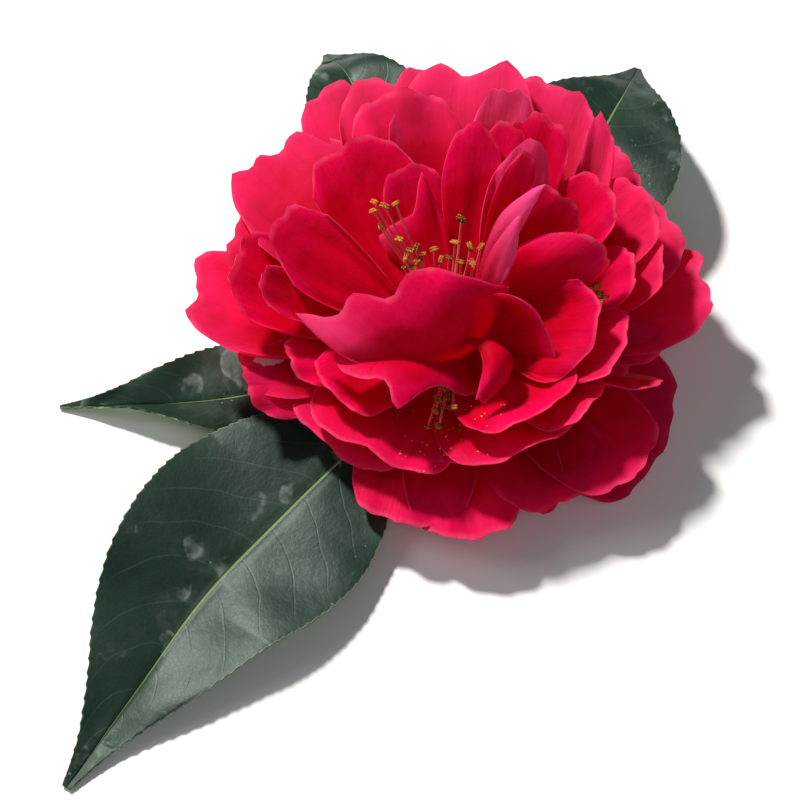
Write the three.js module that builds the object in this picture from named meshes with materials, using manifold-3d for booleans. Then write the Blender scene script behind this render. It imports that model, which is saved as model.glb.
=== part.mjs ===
// Camellia flower: one large loose double bloom on a short cut twig with four leaves, lying on a surface.
// All lengths are millimetres. The bloom faces up, +Y runs along the twig towards its cut end, +Z is up.
// Positions are first given from the foot of the bloom's axis on the surface, and the whole spray is
// moved at the end so that its origin is the middle of its box, at the surface.

import * as THREE from "three";
import { mergeVertices } from "three/addons/utils/BufferGeometryUtils.js";
import Module from "manifold-3d";

const wasm = await Module();
wasm.setup();

// Driving dimensions
const RECEPTACLE_Z = 17;
const PETAL_THICK = 0.62;
const LEAF_THICK = 0.7;
const LEAF_RIB = 0.7;
const PETIOLE_R = 1.1;
const TWIG_R = 2.2;
const TWIG_FLAT = 0.3;
const TWIG_FRONT = [-1.3, -4.4];
const TWIG_CUT = [19, 67];
const SEAT_GAP = 0.3;
const FILAMENT_R = 0.46;
const ANTHER = [0.62, 0.62, 1.3];
const COLUMN_R = 2.1;
const SIDE_COLUMN_R = 1.3;

// The receptacle and the calyx below it, as radius and height from the receptacle's top.
const HUB_PROFILE = [[3.2, -7.4], [8, -6.6], [12.4, -4.8], [13.4, -2], [12, 2.2], [7.6, 4]];
const CALYX_PROFILE = [[2.6, -12.4], [5.8, -11.7], [8.2, -9.8], [9.2, -7.8]];
const SCALES = 6;

// Foot of each petal layer, from the outermost to the petaloids at the heart.
const FOOT_R = [7.6, 6.6, 5.8, 5, 4.4];
const FOOT_Z = [-4, -2.5, -1, 0.5, 1.8];
const SHOULDER = 0.66;
const TIP_BREADTH = 2.7;
const NOTCH_WIDE = 0.16;
const CLAW = 0.2;

// The bloom is judged from 60 degrees above the surface: a petal's tip is given as its way across and
// up in that view, and its height over the receptacle.
const VIEW = (60 * Math.PI) / 180;

// Petals: across, up, height, width, sag, roll, cup in degrees, curl of the tip, edge wave, notch, layer.
const PETALS = [
  [-49, 7, 1, 29, 3, 8, 22, 0, 1.0, 0, 0,
    { rim: [0.7, 0.89, 0.98, 1.0, 0.99, 0.96, 0.98, 0.92, 0.72] }],
  [-41, 17, 5, 20, 3, 0, 25, 0, 0.8, 0, 0],
  [-36, 32.5, 10, 31, 3, 5, 25, -2, 1.2, 0, 1,
    { rim: [0.76, 0.93, 0.97, 0.95, 1.0, 0.97, 1.0, 0.91, 0.68] }],
  [-22, 47, 10, 22, 3, 0, 25, -2, 0.8, 0.05, 0, { notchAt: -0.4 }],
  [-11, 49, 13, 26, 3, 0, 25, -2, 0.8, 0.05, 0],
  [4, 50, 20, 30, 4, 0, 28, -5, 0.8, 0, 1,
    { rim: [0.7, 0.92, 1.0, 0.99, 0.94, 0.96, 0.97, 0.9, 0.7] }],
  [21, 46, 13, 24, 3, 0, 28, -1, 0.6, 0, 0],
  [33, 32.5, 9, 20, 3, 0, 25, -1, 0.8, 0, 0],
  [43, 19, 4, 22, 3, 0, 25, -1, 0.8, 0, 0],
  [49, 7, 2, 25, 3, 0, 20, -1, 0.9, 0, 0,
    { rim: [0.7, 0.9, 0.97, 0.99, 1.0, 0.98, 1.0, 0.94, 0.74] }],
  [40, -3, -1, 14, 2, 0, 20, -1, 0.6, 0, 1],
  [34, -7, -2, 16, 2, 0, 20, -1, 0.6, 0, 1],
  [41, -24, -17.3, 37, 3, 0, 16, 0, 0.8, 0, 0],
  [35, -28, -6, 24, 3, 0, 22, 0, 0.6, 0, 0],
  [23, -33, -7, 24, 3, 0, 20, 0, 0.6, 0, 0],
  [-10, 44, 17, 22, 3, 0, 28, -3, 0.8, 0, 1],
  [8, -40, -8, 30, 3, 0, 20, 0, 1.0, 0.14, 1, { notchAt: 0.45 }],
  [-9, -38, -8, 23, 2, 0, 20, 0, 0.8, 0, 0],
  [-24, -23, -5, 28, 2, 0, 20, 0, 0.8, 0, 0],
  [-38, -14, -4, 16, 2, -15, 30, 2, 0.8, 0, 0],
  [-40, -8, -3, 20, 3, 0, 30, 2, 0.8, 0, 0],
  [-41, 9, 7, 23, 4, 0, 40, 2, 0.6, 0, 2],
  [-31, 19.8, 15, 19, 1, 5, [25, 20], 0, 0.3, 0, 3,
    { foot: [-5, -3, 1], spread: [0.5, 1.02],
      rim: [0.8, 0.9, 0.96, 0.99, 1.0, 1.0, 0.98, 0.89, 0.7] }],
  [-19, 33.5, 15, 20.5, 2, 0, [20, 60], -1, 0.6, 0, 2,
    { foot: [-5.5, 3.5, 0.5], spread: [1.0, 1.2],
      rim: [0.7, 0.9, 0.97, 1.0, 1.01, 0.99, 0.98, 0.93, 0.78] }],
  [-8.3, 28.5, 16, 12.5, 1, 0, 25, 0, 0.3, 0, 3, { foot: [-1, 4, 0.5] }],
  [11.9, 43, 21, 13, 4, 0, 35, 2, 0.4, 0, 2],
  [4.6, 36.2, 24, 11.5, 1, -10, 20, 0, 0.3, 0, 3, { foot: [2.5, 3.8, 1.5], breadth: 1.9 }],
  [10.8, 36.2, 23.5, 11.5, 1, -10, 20, 0, 0.3, 0, 3, { foot: [4, 3.6, 1.5], breadth: 2.0 }],
  [15.8, 32.8, 24.5, 11.5, 1, 5, 20, 0, 0.3, 0, 3, { foot: [6, 3, 1.5], breadth: 1.5 }],
  [14, 29.6, 27, 7.5, 1, 0, 50, 0, 0.2, 0, 4, { foot: [5, 3, 2.2], breadth: 1.9 }],
  [18.5, 37.7, 20, 15, 3, 0, 35, 0, 0.5, 0, 2],
  [20.5, 22.3, 20, 13.5, 1, 5, 25, 0, 0.4, 0, 2, { foot: [6.5, 3, 0] }],
  [24.5, 13.2, 20, 16.5, -2, 5, [-70, -30], -2, 0.3, 0, 2,
    { foot: [7.3, 2, 0], spread: [1.1, 0.9],
      rim: [0.6, 0.92, 1.0, 1.02, 1.0, 0.97, 0.88, 0.74, 0.45] }],
  [29, 38.3, 17, 9, 1, 0, 75, 0, 0.3, 0, 1, { foot: [7, 4, -1.5], bow: -6, breadth: 2.2 }],
  [29, 24.5, 17, 16, 4, 0, 35, 0, 0.5, 0, 2],
  [37.5, 22.5, 13, 20, 4, 0, 35, 0, 0.6, 0, 1],
  [39, 14, 10, 22, 4, 0, 30, 0, 0.6, 0, 1],
  [34, 10, 12, 14, 4, 0, 30, 0, 0.6, 0, 2],
  [26.4, -1.3, 12, 20, 1, -10, [30, 35], 0, 0.5, 0, 2,
    { foot: [7, -1.6, -1], spread: [1.16, 0.84],
      rim: [0.64, 0.83, 0.93, 1.0, 1.02, 1.03, 1.0, 0.93, 0.84] }],
  [31, -4, 10, 19, 4, 0, 30, -2, 0.6, 0, 1, { az: -20 }],
  [39, -12, 0, 14, 3, -45, 20, 0, 0.4, 0, 1],
  [17.9, -4.2, 9, 22, 1.5, 32, [20, 35], 0, 0.3, 0, 3,
    { foot: [5, -4.5, 0], rim: [0.75, 0.95, 1.0, 1.0, 1.0, 0.99, 0.94, 0.8, 0.6] }],
  [5.5, -15.8, 6, 8, -5, -40, -60, 0, 0.2, 0, 4,
    { foot: [0, -9.5, 8], bow: 5, breadth: 1.9 }],
  [-8.3, 7.2, 20, 34, -6, 0, [-30, -20], 0, 0.5, 0, 4,
    { foot: [2.9, -8, -1], spread: [0.85, 1.2], hook: [-5.5, -1.5],
      rim: [0.36, 0.58, 0.8, 0.93, 0.99, 0.92, 1.05, 0.98, 1.1] }],
  [-9.4, -16.2, 11, 25.5, -2, 0, [-40, -6], -1, 0.6, 0, 3,
    { foot: [-3, -5.2, 1], spread: [1.24, 0.92],
      rim: [0.66, 0.8, 0.86, 0.85, 1.0, 0.76, 0.62, 0.54, 0.42] }],
  [15.5, -18, 6, 25, 3, 0, 35, 0, 0.6, 0, 2, { az: -54 }],
  [25, -17, 4, 18, 3, 0, 30, 0, 0.6, 0, 1],
  [15, -24, 2, 30, 3, 0, 25, 0, 0.8, 0, 1],
  [-16, -25, 0, 30, 3, 0, 20, 0, 1.0, 0.05, 1],
  [-2, -27, -2, 18, 3, 0, 25, 0, 0.8, 0, 1],
  [-36, 5, 9, 13, 3, 0, 60, 3, 0.4, 0, 2],
  [-30, -8, 3, 14, 3, 0, 30, 0, 0.6, 0, 2],
  [-22, -14, 4, 18, 3, 0, 30, 0, 0.6, 0, 2],
  [16.7, 23.5, 26, 6, -1, -35, -20, 0, 0.2, 0, 4,
    { foot: [4.5, 2.5, 1.5], shoulder: 0.55, bow: 2.4, breadth: 1.3 }],
  [12.3, 17.9, 23, 6, -1, -35, -25, 0, 0.2, 0, 4,
    { foot: [5.5, 0.5, 2.5], shoulder: 0.5, breadth: 1.3 }],
  [-5.5, 26.8, 19, 14, 0, -10, [40, -30], 0, 0.3, 0, 4,
    { foot: [0.5, 3.5, 3], spread: [0.3, 1.7],
      rim: [0.5, 0.66, 0.8, 0.92, 1.0, 0.74, 0.66, 0.62, 0.56] }],
];

// Anthers: across and up in the same view, and height over the receptacle.
const CENTER_ANTHERS = [
  [-14.2, 20.8, 21.5], [-14.3, 19.2, 20.4], [-12.2, 20, 21.6], [-10.2, 20.4, 22.2],
  [-13, 16.2, 19.2], [-9.6, 14, 18], [-7.5, 11.9, 17.4], [-6.4, 12.4, 17.6], [-5.3, 11.2, 17.2],
  [-3.2, 12.1, 17.2], [-8.3, 10.6, 16.6], [-6.2, 10, 16.2], [-8.7, 8.7, 15.8], [-7.2, 8.9, 15.2],
  [-5.5, 7.7, 15.2], [-1.9, 10.2, 16.4], [1.8, 17.6, 20.2], [0.6, 13.4, 18], [-0.4, 10.6, 16.4],
  [1.6, 9.8, 16], [3.4, 12.6, 17.4], [5.3, 12.5, 17.4], [3.8, 9.6, 16],
];
const FRONT_ANTHERS = [
  [-2.5, -15.3, 4.8], [-0.8, -14.7, 5], [-3, -17.4, 4], [-1.3, -16.8, 4.2], [0.2, -16.8, 4.3],
  [-4.4, -20.4, 3.4], [-2.3, -20.2, 3.4], [0.8, -13, 4.4], [-1.6, -13.2, 4.6],
];
const SIDE_ANTHERS = [
  [26.8, 5.5, 11.4], [25.6, 4.6, 11.2], [27.4, 4.2, 10.6], [24.6, 3.8, 10.8], [27.6, 2.8, 10],
  [26, 2.6, 10], [28.4, 3.6, 10.2],
];

// The side and front tufts leave the receptacle low, between the petals' feet.
const FRONT_ROOT = { at: [0.2, -7.4, 0.2], aim: [-1, -20, 2.4], reach: 9 };
const SIDE_ROOT = { at: [7.4, -0.8, 0.6], aim: [22, -1.8, 7.4], reach: 12 };

// Leaves: the midrib from the foot of the stalk to the tip, half widths and folds on the two sides.
const HALF_WIDTH = [0, 0.38, 0.72, 0.91, 1, 0.99, 0.91, 0.77, 0.58, 0.36, 0.17, 0.04];
const LEAVES = {
  leaf_lower_left: {
    rib: [[-2.6, -5.7, 3], [-19, -22, 4.2], [-32.5, -36.5, 3.2], [-45.5, -51.5, 2],
      [-57, -69.5, 1.1], [-68, -87, 0.4]],
    half: [20.5, 23.5],
    fold: [[2, 15], [2, 14]],
    stalk: 0.07,
    rows: 28,
  },
  leaf_left: {
    rib: [[-2.6, 1.7, 2.4], [-20, -1.5, 2.1], [-38, -8, 2.2], [-56, -10.5, 2.4], [-75, -10, 0.4]],
    half: [8.5, 12.5],
    fold: [[-2, 56], [4, 30]],
    foldFrom: 0.52,
    stalk: 0.1,
    rows: 22,
  },
  leaf_upper_left: {
    rib: [[1, 13.4, 3], [-6, 27, 7], [-13, 43, 11.5], [-20, 61, 12.5], [-25, 72, 5.5]],
    half: [15, 16],
    fold: [[4, 8], [4, 8]],
    stalk: 0.1,
    rows: 20,
  },
  leaf_upper_right: {
    rib: [[10.5, 22.4, 3], [18.5, 31, 7.5], [28, 42, 11.5], [35, 55, 11.5], [40, 68, 6]],
    half: [20, 20],
    fold: [[4, 8], [4, 8]],
    stalk: 0.1,
    rows: 20,
  },
};
const LEAF_COLS = 4;
const TOOTH = 0.45;

const vec = (x, y, z) => new THREE.Vector3(x, y, z);
const rad = (degrees) => (degrees * Math.PI) / 180;
const clamp = (x, low, high) => Math.min(high, Math.max(low, x));

// A place given in the view, as a point in space.
function placed([across, up, height]) {
  return vec(across, (up - height * Math.cos(VIEW)) / Math.sin(VIEW), height + RECEPTACLE_Z);
}

function solidOf(points, triangles) {
  const geometry = new THREE.BufferGeometry();
  geometry.setAttribute("position", new THREE.Float32BufferAttribute(points.flatMap((p) => p.toArray()), 3));
  geometry.setIndex(triangles.flat());
  return solidFrom(geometry);
}

function solidFrom(geometry) {
  geometry.deleteAttribute("normal");
  geometry.deleteAttribute("uv");
  const merged = mergeVertices(geometry, 1e-4);
  return new wasm.Manifold(
    new wasm.Mesh({
      numProp: 3,
      vertProperties: merged.attributes.position.array,
      triVerts: new Uint32Array(merged.index.array),
    }),
  );
}

// One body with no pockets sealed inside it.
function joined(solids) {
  const bodies = wasm.Manifold.union(solids).decompose();
  return bodies.reduce((most, body) => (body.volume() > most.volume() ? body : most));
}

// A closed blade round a grid of points: both faces are split into the same triangles.
function blade(grid, thickness) {
  const rows = grid.length;
  const cols = grid[0].length;
  const front = [];
  const back = [];
  for (let i = 0; i < rows; i += 1) {
    for (let j = 0; j < cols; j += 1) {
      const along = grid[Math.min(i + 1, rows - 1)][j].clone().sub(grid[Math.max(i - 1, 0)][j]);
      const over = grid[i][Math.min(j + 1, cols - 1)].clone().sub(grid[i][Math.max(j - 1, 0)]);
      const normal = along.cross(over).normalize();
      const [below, above] = thickness(i / (rows - 1), (2 * j) / (cols - 1) - 1);
      front.push(grid[i][j].clone().addScaledVector(normal, -below));
      back.push(grid[i][j].clone().addScaledVector(normal, above));
    }
  }
  const points = [...front, ...back];
  const shift = rows * cols;
  const triangles = [];
  const quad = (a, b, c, d) => triangles.push([a, b, c], [a, c, d]);
  const at = (i, j) => i * cols + j;
  for (let i = 0; i < rows - 1; i += 1) {
    for (let j = 0; j < cols - 1; j += 1) {
      quad(at(i, j), at(i, j + 1), at(i + 1, j + 1), at(i + 1, j));
      triangles.push([at(i, j) + shift, at(i + 1, j + 1) + shift, at(i, j + 1) + shift]);
      triangles.push([at(i, j) + shift, at(i + 1, j) + shift, at(i + 1, j + 1) + shift]);
    }
  }
  const rim = [];
  for (let j = 0; j < cols - 1; j += 1) rim.push(at(0, j));
  for (let i = 0; i < rows - 1; i += 1) rim.push(at(i, cols - 1));
  for (let j = cols - 1; j > 0; j -= 1) rim.push(at(rows - 1, j));
  for (let i = rows - 1; i > 0; i -= 1) rim.push(at(i, 0));
  rim.forEach((a, k) => {
    const b = rim[(k + 1) % rim.length];
    quad(a, a + shift, b + shift, b);
  });
  return solidOf(points, triangles);
}

// A round or faceted bar along a path, closed at both ends.
function bar(path, radii, sides) {
  const points = [];
  const triangles = [];
  let side = null;
  path.forEach((p, i) => {
    const along = path[Math.min(i + 1, path.length - 1)].clone().sub(path[Math.max(i - 1, 0)]).normalize();
    const start = side ?? (Math.abs(along.z) > 0.9 ? vec(1, 0, 0) : vec(0, 0, 1));
    side = start.clone().addScaledVector(along, -start.dot(along)).normalize();
    const other = along.clone().cross(side);
    for (let k = 0; k < sides; k += 1) {
      const a = (2 * Math.PI * k) / sides;
      const r = radii[i];
      points.push(p.clone().addScaledVector(side, r * Math.cos(a)).addScaledVector(other, r * Math.sin(a)));
    }
  });
  for (let i = 0; i < path.length - 1; i += 1) {
    for (let k = 0; k < sides; k += 1) {
      const a = i * sides + k;
      const b = i * sides + ((k + 1) % sides);
      triangles.push([a, b, b + sides], [a, b + sides, a + sides]);
    }
  }
  const last = (path.length - 1) * sides;
  for (let k = 1; k < sides - 1; k += 1) {
    triangles.push([0, k + 1, k], [last, last + k, last + k + 1]);
  }
  return solidOf(points, triangles);
}

// A solid turned about the bloom's axis from radius and height pairs, closed on the axis.
function turned(profile, sides) {
  const low = profile[0][1];
  const high = profile[profile.length - 1][1];
  const line = [[0.001, low], ...profile, [0.001, high]];
  const shape = line.map(([r, z]) => new THREE.Vector2(r, z));
  const geometry = new THREE.LatheGeometry(shape, sides);
  geometry.rotateX(Math.PI / 2);
  const flat = mergeVertices(geometry.deleteAttribute("normal").deleteAttribute("uv"), 0.01);
  flat.translate(0, 0, RECEPTACLE_Z);
  return solidFrom(flat);
}

// A value that may differ between a petal's two halves, and a rim given at even steps across a petal.
const halved = (value, v) => (Array.isArray(value) ? value[v < 0 ? 0 : 1] : value);

function rimAt(rim, v) {
  const run = clamp((v + 1) / 2, 0, 1) * (rim.length - 1);
  const k = Math.min(Math.floor(run), rim.length - 2);
  const w = run - k;
  const here = rim[k];
  const there = rim[k + 1];
  const leave = (there - (rim[k - 1] ?? 2 * here - there)) / 2;
  const arrive = ((rim[k + 2] ?? 2 * there - here) - here) / 2;
  return (2 * here - 2 * there + leave + arrive) * w ** 3
    + (3 * there - 3 * here - 2 * leave - arrive) * w ** 2 + leave * w + here;
}

// A petal's own frame: its foot, its way to the tip, and the ways across it and towards its inner face.
function petalFrame(tip, layer, roll, more) {
  const az = more.az === undefined ? Math.atan2(tip.y, tip.x) : rad(more.az);
  const foot = more.foot
    ? vec(...more.foot)
    : vec(Math.cos(az) * FOOT_R[layer], Math.sin(az) * FOOT_R[layer], FOOT_Z[layer]);
  foot.z += RECEPTACLE_Z;
  const along = tip.clone().sub(foot);
  const length = along.length();
  along.normalize();
  const level = vec(-Math.sin(az), Math.cos(az), 0);
  const rise = vec(0, -Math.cos(VIEW), Math.sin(VIEW));
  if (more.foot) {
    rise.addScaledVector(along, -rise.dot(along)).normalize();
    level.copy(rise).cross(along);
  } else {
    level.addScaledVector(along, -level.dot(along)).normalize();
    rise.copy(along).cross(level);
  }
  const c = Math.cos(rad(roll));
  const s = Math.sin(rad(roll));
  const side = level.clone().multiplyScalar(c).addScaledVector(rise, s);
  const inner = rise.clone().multiplyScalar(c).addScaledVector(level, -s);
  return { foot, along, length, side, inner };
}

// Corolla: a petal grows from its foot on the receptacle to its tip, cupped across and sagging along.
function petal(row, rows, cols) {
  const [across, up, height, width, sag, roll, cup, curl, wave, notch, layer, more = {}] = row;
  const { notchAt = 0, twist = 0, spread = 1, bow = 0, hook = 0 } = more;
  const { foot, along, length, side, inner } = petalFrame(placed([across, up, height]), layer, roll, more);
  const grid = [];
  for (let i = 0; i <= rows; i += 1) {
    const line = [];
    for (let j = 0; j <= cols; j += 1) {
      const t = (2 * j) / cols - 1;
      const v = Math.sin((t * Math.PI) / 2);
      const shoulder = more.rim ? rimAt(more.rim, v < 0 ? -1 : 1) : halved(more.shoulder ?? SHOULDER, v);
      const breadth = halved(more.breadth ?? TIP_BREADTH, v);
      const round = shoulder + (1 - shoulder) * Math.max(0, 1 - Math.abs(v) ** breadth) ** (1 / breadth);
      const plain = round - notch * Math.exp(-(((v - notchAt) / NOTCH_WIDE) ** 2));
      const u = (i / rows) * (more.rim ? rimAt(more.rim, v) : plain);
      const swell = Math.sin((clamp(u / shoulder, 0, 1) * Math.PI) / 2) ** 1.3;
      const half = (width / 2) * halved(spread, v) * (CLAW + (1 - CLAW) * swell);
      const angle = rad(halved(cup, v)) * (1.15 - 0.35 * u);
      const away = (half / angle) * Math.sin(angle * v);
      const edge = Math.max((i / rows) ** 3, (Math.abs(v) ** 3 * i) / rows);
      const ripple = wave * edge * Math.sin(2 * Math.PI * (0.8 * t + 0.25));
      const inward = (half / angle) * (1 - Math.cos(angle * v)) + ripple;
      const bent = halved(hook, v) * clamp((u - 0.8) / 0.2, 0, 1.2) ** 1.2 * Math.min(1, 3 * Math.abs(v));
      const lift = -sag * 4 * u * (1 - u) + curl * clamp((u - 0.55) / 0.45, 0, 1) ** 2 + bent;
      const a = rad(twist) * u;
      line.push(
        foot.clone().addScaledVector(along, length * u)
          .addScaledVector(inner, lift + away * Math.sin(a) + inward * Math.cos(a))
          .addScaledVector(side, bow * 4 * u * (1 - u) + away * Math.cos(a) - inward * Math.sin(a)),
      );
    }
    grid.push(line);
  }
  return grid;
}

function petalSolid(row) {
  const lobed = row[9] > 0 || (row[11] ?? {}).rim;
  const rim = lobed && row[3] > 20 ? 6 : 4;
  const half = PETAL_THICK / 2;
  return blade(petal(row, row[3] > 22 ? 4 : 3, rim), () => [half, half]);
}

// Stamens: thin filaments, each with an anther across its end, that stand together in one short column.
function stamen(root, end, bow) {
  const chord = end.clone().sub(root);
  const sideways = chord.clone().cross(vec(0, 0, 1)).normalize();
  const lift = sideways.clone().cross(chord).normalize();
  const path = [0, 0.55, 1].map((u) => root.clone().addScaledVector(chord, u)
    .addScaledVector(lift, bow * 4 * u * (1 - u)));
  const filament = bar(path, [FILAMENT_R, FILAMENT_R, FILAMENT_R * 0.85], 3);
  const head = new THREE.OctahedronGeometry(1, 0);
  head.scale(...ANTHER);
  head.rotateY(rad(55));
  head.rotateZ(Math.atan2(chord.y, chord.x) + end.x);
  head.translate(end.x, end.y, end.z);
  return joined([filament, solidFrom(head)]);
}

function tuft(places, rootOf, bow, column) {
  return joined([column, ...places.map((p, k) => stamen(rootOf(k), placed(p), bow))]);
}

function rootColumn({ at, aim }, radius, reach) {
  const start = vec(at[0], at[1], at[2] + RECEPTACLE_Z);
  const way = vec(aim[0], aim[1], aim[2] + RECEPTACLE_Z).sub(start).normalize();
  return bar([start.clone(), start.clone().addScaledVector(way, reach)], [radius, radius], 8);
}

function centerTuft() {
  const columnEnds = [vec(0, 0, RECEPTACLE_Z - 2.5), vec(0, 0, RECEPTACLE_Z + 4.5)];
  const column = bar(columnEnds, [COLUMN_R, COLUMN_R], 10);
  const ring = (k) => {
    const end = placed(CENTER_ANTHERS[k]);
    const out = clamp(Math.hypot(end.x, end.y) / 10, 0.2, 1) * 1.5;
    const az = Math.atan2(end.y, end.x);
    return vec(out * Math.cos(az), out * Math.sin(az), RECEPTACLE_Z + 3);
  };
  return tuft(CENTER_ANTHERS, ring, -1.2, column);
}

function lowTuft(places, root) {
  const column = rootColumn(root, SIDE_COLUMN_R, 5.2);
  const start = vec(root.at[0], root.at[1], root.at[2] + RECEPTACLE_Z);
  const way = vec(root.aim[0], root.aim[1], root.aim[2] + RECEPTACLE_Z).sub(start).normalize();
  const side = way.clone().cross(vec(0, 0, 1)).normalize();
  const from = (k) => start.clone().addScaledVector(way, 3.6)
    .addScaledVector(side, 0.7 * Math.cos(2.4 * k))
    .add(vec(0, 0, 0.7 * Math.sin(2.4 * k)));
  return tuft(places, from, -0.4, column);
}

function corolla() {
  const hub = turned(HUB_PROFILE, 12);
  const flower = joined([hub, ...PETALS.map(petalSolid)]);
  const wide = COLUMN_R + SEAT_GAP;
  const heart = bar(
    [-2.5 - SEAT_GAP, 1, 7].map((z) => vec(0, 0, RECEPTACLE_Z + z)),
    [wide, wide, wide + 2.6],
    10,
  );
  const low = [FRONT_ROOT, SIDE_ROOT].map((root) => backed(root, SIDE_COLUMN_R + SEAT_GAP, root.reach));
  const sockets = wasm.Manifold.union([heart, ...low]);
  return joined([aboveSurface(flower.subtract(sockets)).simplify(0.05)]);
}

// The socket of a low tuft starts a little behind its column's foot.
function backed(root, radius, reach) {
  const start = vec(root.at[0], root.at[1], root.at[2] + RECEPTACLE_Z);
  const way = vec(root.aim[0], root.aim[1], root.aim[2] + RECEPTACLE_Z).sub(start).normalize();
  return bar(
    [start.clone().addScaledVector(way, -SEAT_GAP), start.clone().addScaledVector(way, reach)],
    [radius, radius],
    8,
  );
}

// Calyx: the foot of the bloom, wrapped in overlapping bud scales.
function calyx() {
  const scales = [];
  for (let k = 0; k < SCALES; k += 1) {
    const az = (2 * Math.PI * k) / SCALES;
    const grid = [];
    for (let i = 0; i <= 3; i += 1) {
      const line = [];
      for (let j = 0; j <= 3; j += 1) {
        const t = (2 * j) / 3 - 1;
        const u = (i / 3) * (1 - 0.3 * t * t);
        const a = az + t * rad(36) * Math.sin(Math.PI * (0.3 + 0.45 * u));
        const r = 5.2 + 5.6 * Math.sin((u * Math.PI) / 2) + 0.35 * t;
        line.push(vec(r * Math.cos(a), r * Math.sin(a), RECEPTACLE_Z - 11.6 + 3.8 * u ** 1.4));
      }
      grid.push(line);
    }
    scales.push(blade(grid, () => [0.35, 0.35]));
  }
  return joined([turned(CALYX_PROFILE, 14), ...scales]);
}

// Twig: a short woody shoot that lies on the surface, with a bud scale ring under the bloom.
function twig() {
  const [fx, fy] = TWIG_FRONT;
  const [cx, cy] = TWIG_CUT;
  const path = [];
  const radii = [];
  for (let i = 0; i <= 10; i += 1) {
    const u = i / 10;
    const wander = 0.9 * Math.sin(u * 7);
    path.push(vec(fx + (cx - fx) * u + wander, fy + (cy - fy) * u, TWIG_R - TWIG_FLAT));
    radii.push(TWIG_R * (1 + 0.14 * Math.exp(-(((u - 0.28) / 0.04) ** 2)) + 0.12 * (i === 4 ? 1 : 0)));
  }
  const stem = bar(path, radii, 10);
  const top = RECEPTACLE_Z + CALYX_PROFILE[0][1] - SEAT_GAP;
  const neck = bar([vec(0, 0, 1.2), vec(0, 0, top)], [2, 2.4], 10);
  return aboveSurface(joined([stem, neck]));
}

// Everything below the surface is pressed flat against it.
function aboveSurface(solid) {
  const slab = new THREE.BoxGeometry(400, 400, 40);
  slab.translate(0, 0, -20);
  return solid.subtract(solidFrom(slab));
}

// A smooth line through the points of a midrib.
function ribPoint(points, u) {
  return new THREE.CatmullRomCurve3(points.map((p) => vec(...p)), false, "catmullrom", 0.5).getPoint(u);
}

function leaf({ rib, half, fold, foldFrom = 0.3, stalk, rows }) {
  const grid = [];
  for (let i = 0; i <= rows; i += 1) {
    const u = i / rows;
    const here = ribPoint(rib, u);
    const along = ribPoint(rib, Math.min(1, u + 0.01)).sub(ribPoint(rib, Math.max(0, u - 0.01))).normalize();
    const side = vec(0, 0, 1).cross(along).normalize();
    const up = along.clone().cross(side);
    const b = clamp((u - stalk) / (1 - stalk), 0, 1);
    const place = b * (HALF_WIDTH.length - 1);
    const k = Math.min(Math.floor(place), HALF_WIDTH.length - 2);
    const share = HALF_WIDTH[k] + (HALF_WIDTH[k + 1] - HALF_WIDTH[k]) * (place - k);
    const turn = clamp((b - foldFrom) / 0.28, 0, 1);
    const line = [];
    for (let j = 0; j <= LEAF_COLS; j += 1) {
      const v = (2 * j) / LEAF_COLS - 1;
      const hand = v > 0 ? 0 : 1;
      const cut = i % 2 === 0 && Math.abs(v) === 1 && b > 0.1 && b < 0.97 ? TOOTH : 0;
      const wide = Math.max(half[hand] * share - cut, PETIOLE_R - 0.75 * clamp(b * 12, 0, 1));
      const angle = rad(fold[hand][0] + (fold[hand][1] - fold[hand][0]) * turn);
      line.push(
        here.clone().addScaledVector(side, v * wide * Math.cos(angle))
          .addScaledVector(up, Math.abs(v) * wide * Math.sin(angle)),
      );
    }
    grid.push(line);
  }
  const plate = LEAF_THICK / 2;
  return aboveSurface(
    blade(grid, (u, v) => {
      const stem = clamp(1 - (u - stalk) / 0.06, 0, 1);
      const keel = plate + (Math.abs(v) < 0.1 ? LEAF_RIB * (1 - u) : 0);
      return [keel + (PETIOLE_R - keel) * stem, plate + (PETIOLE_R - plate) * stem];
    }),
  );
}

function meshOf(solid, name, material) {
  const { numProp, numVert, vertProperties, triVerts } = solid.getMesh();
  const positions = new Float32Array(numVert * 3);
  for (let i = 0; i < numVert; i += 1) {
    positions.set(vertProperties.subarray(i * numProp, i * numProp + 3), i * 3);
  }
  const geometry = new THREE.BufferGeometry();
  geometry.setAttribute("position", new THREE.BufferAttribute(positions, 3));
  geometry.setIndex(new THREE.BufferAttribute(new Uint32Array(triVerts), 1));
  geometry.computeVertexNormals();
  const mesh = new THREE.Mesh(geometry, material);
  mesh.name = name;
  return mesh;
}

const petalRed = new THREE.MeshStandardMaterial({ color: "#d00a35", roughness: 0.5, metalness: 0 });
const stamenGold = new THREE.MeshStandardMaterial({ color: "#b8863a", roughness: 0.7, metalness: 0 });
const scaleGreen = new THREE.MeshStandardMaterial({ color: "#7c8a4a", roughness: 0.6, metalness: 0 });
const barkBrown = new THREE.MeshStandardMaterial({ color: "#7a6a4c", roughness: 0.85, metalness: 0 });
const leafGreen = new THREE.MeshStandardMaterial({ color: "#22382c", roughness: 0.35, metalness: 0 });

const spray = new THREE.Group();
spray.add(meshOf(corolla(), "corolla", petalRed));
spray.add(meshOf(centerTuft(), "stamens_center", stamenGold));
spray.add(meshOf(lowTuft(FRONT_ANTHERS, FRONT_ROOT), "stamens_front", stamenGold));
spray.add(meshOf(lowTuft(SIDE_ANTHERS, SIDE_ROOT), "stamens_side", stamenGold));
spray.add(meshOf(calyx(), "calyx", scaleGreen));
spray.add(meshOf(twig(), "twig", barkBrown));
for (const [name, shape] of Object.entries(LEAVES)) {
  spray.add(meshOf(leaf(shape), name, leafGreen));
}

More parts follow.
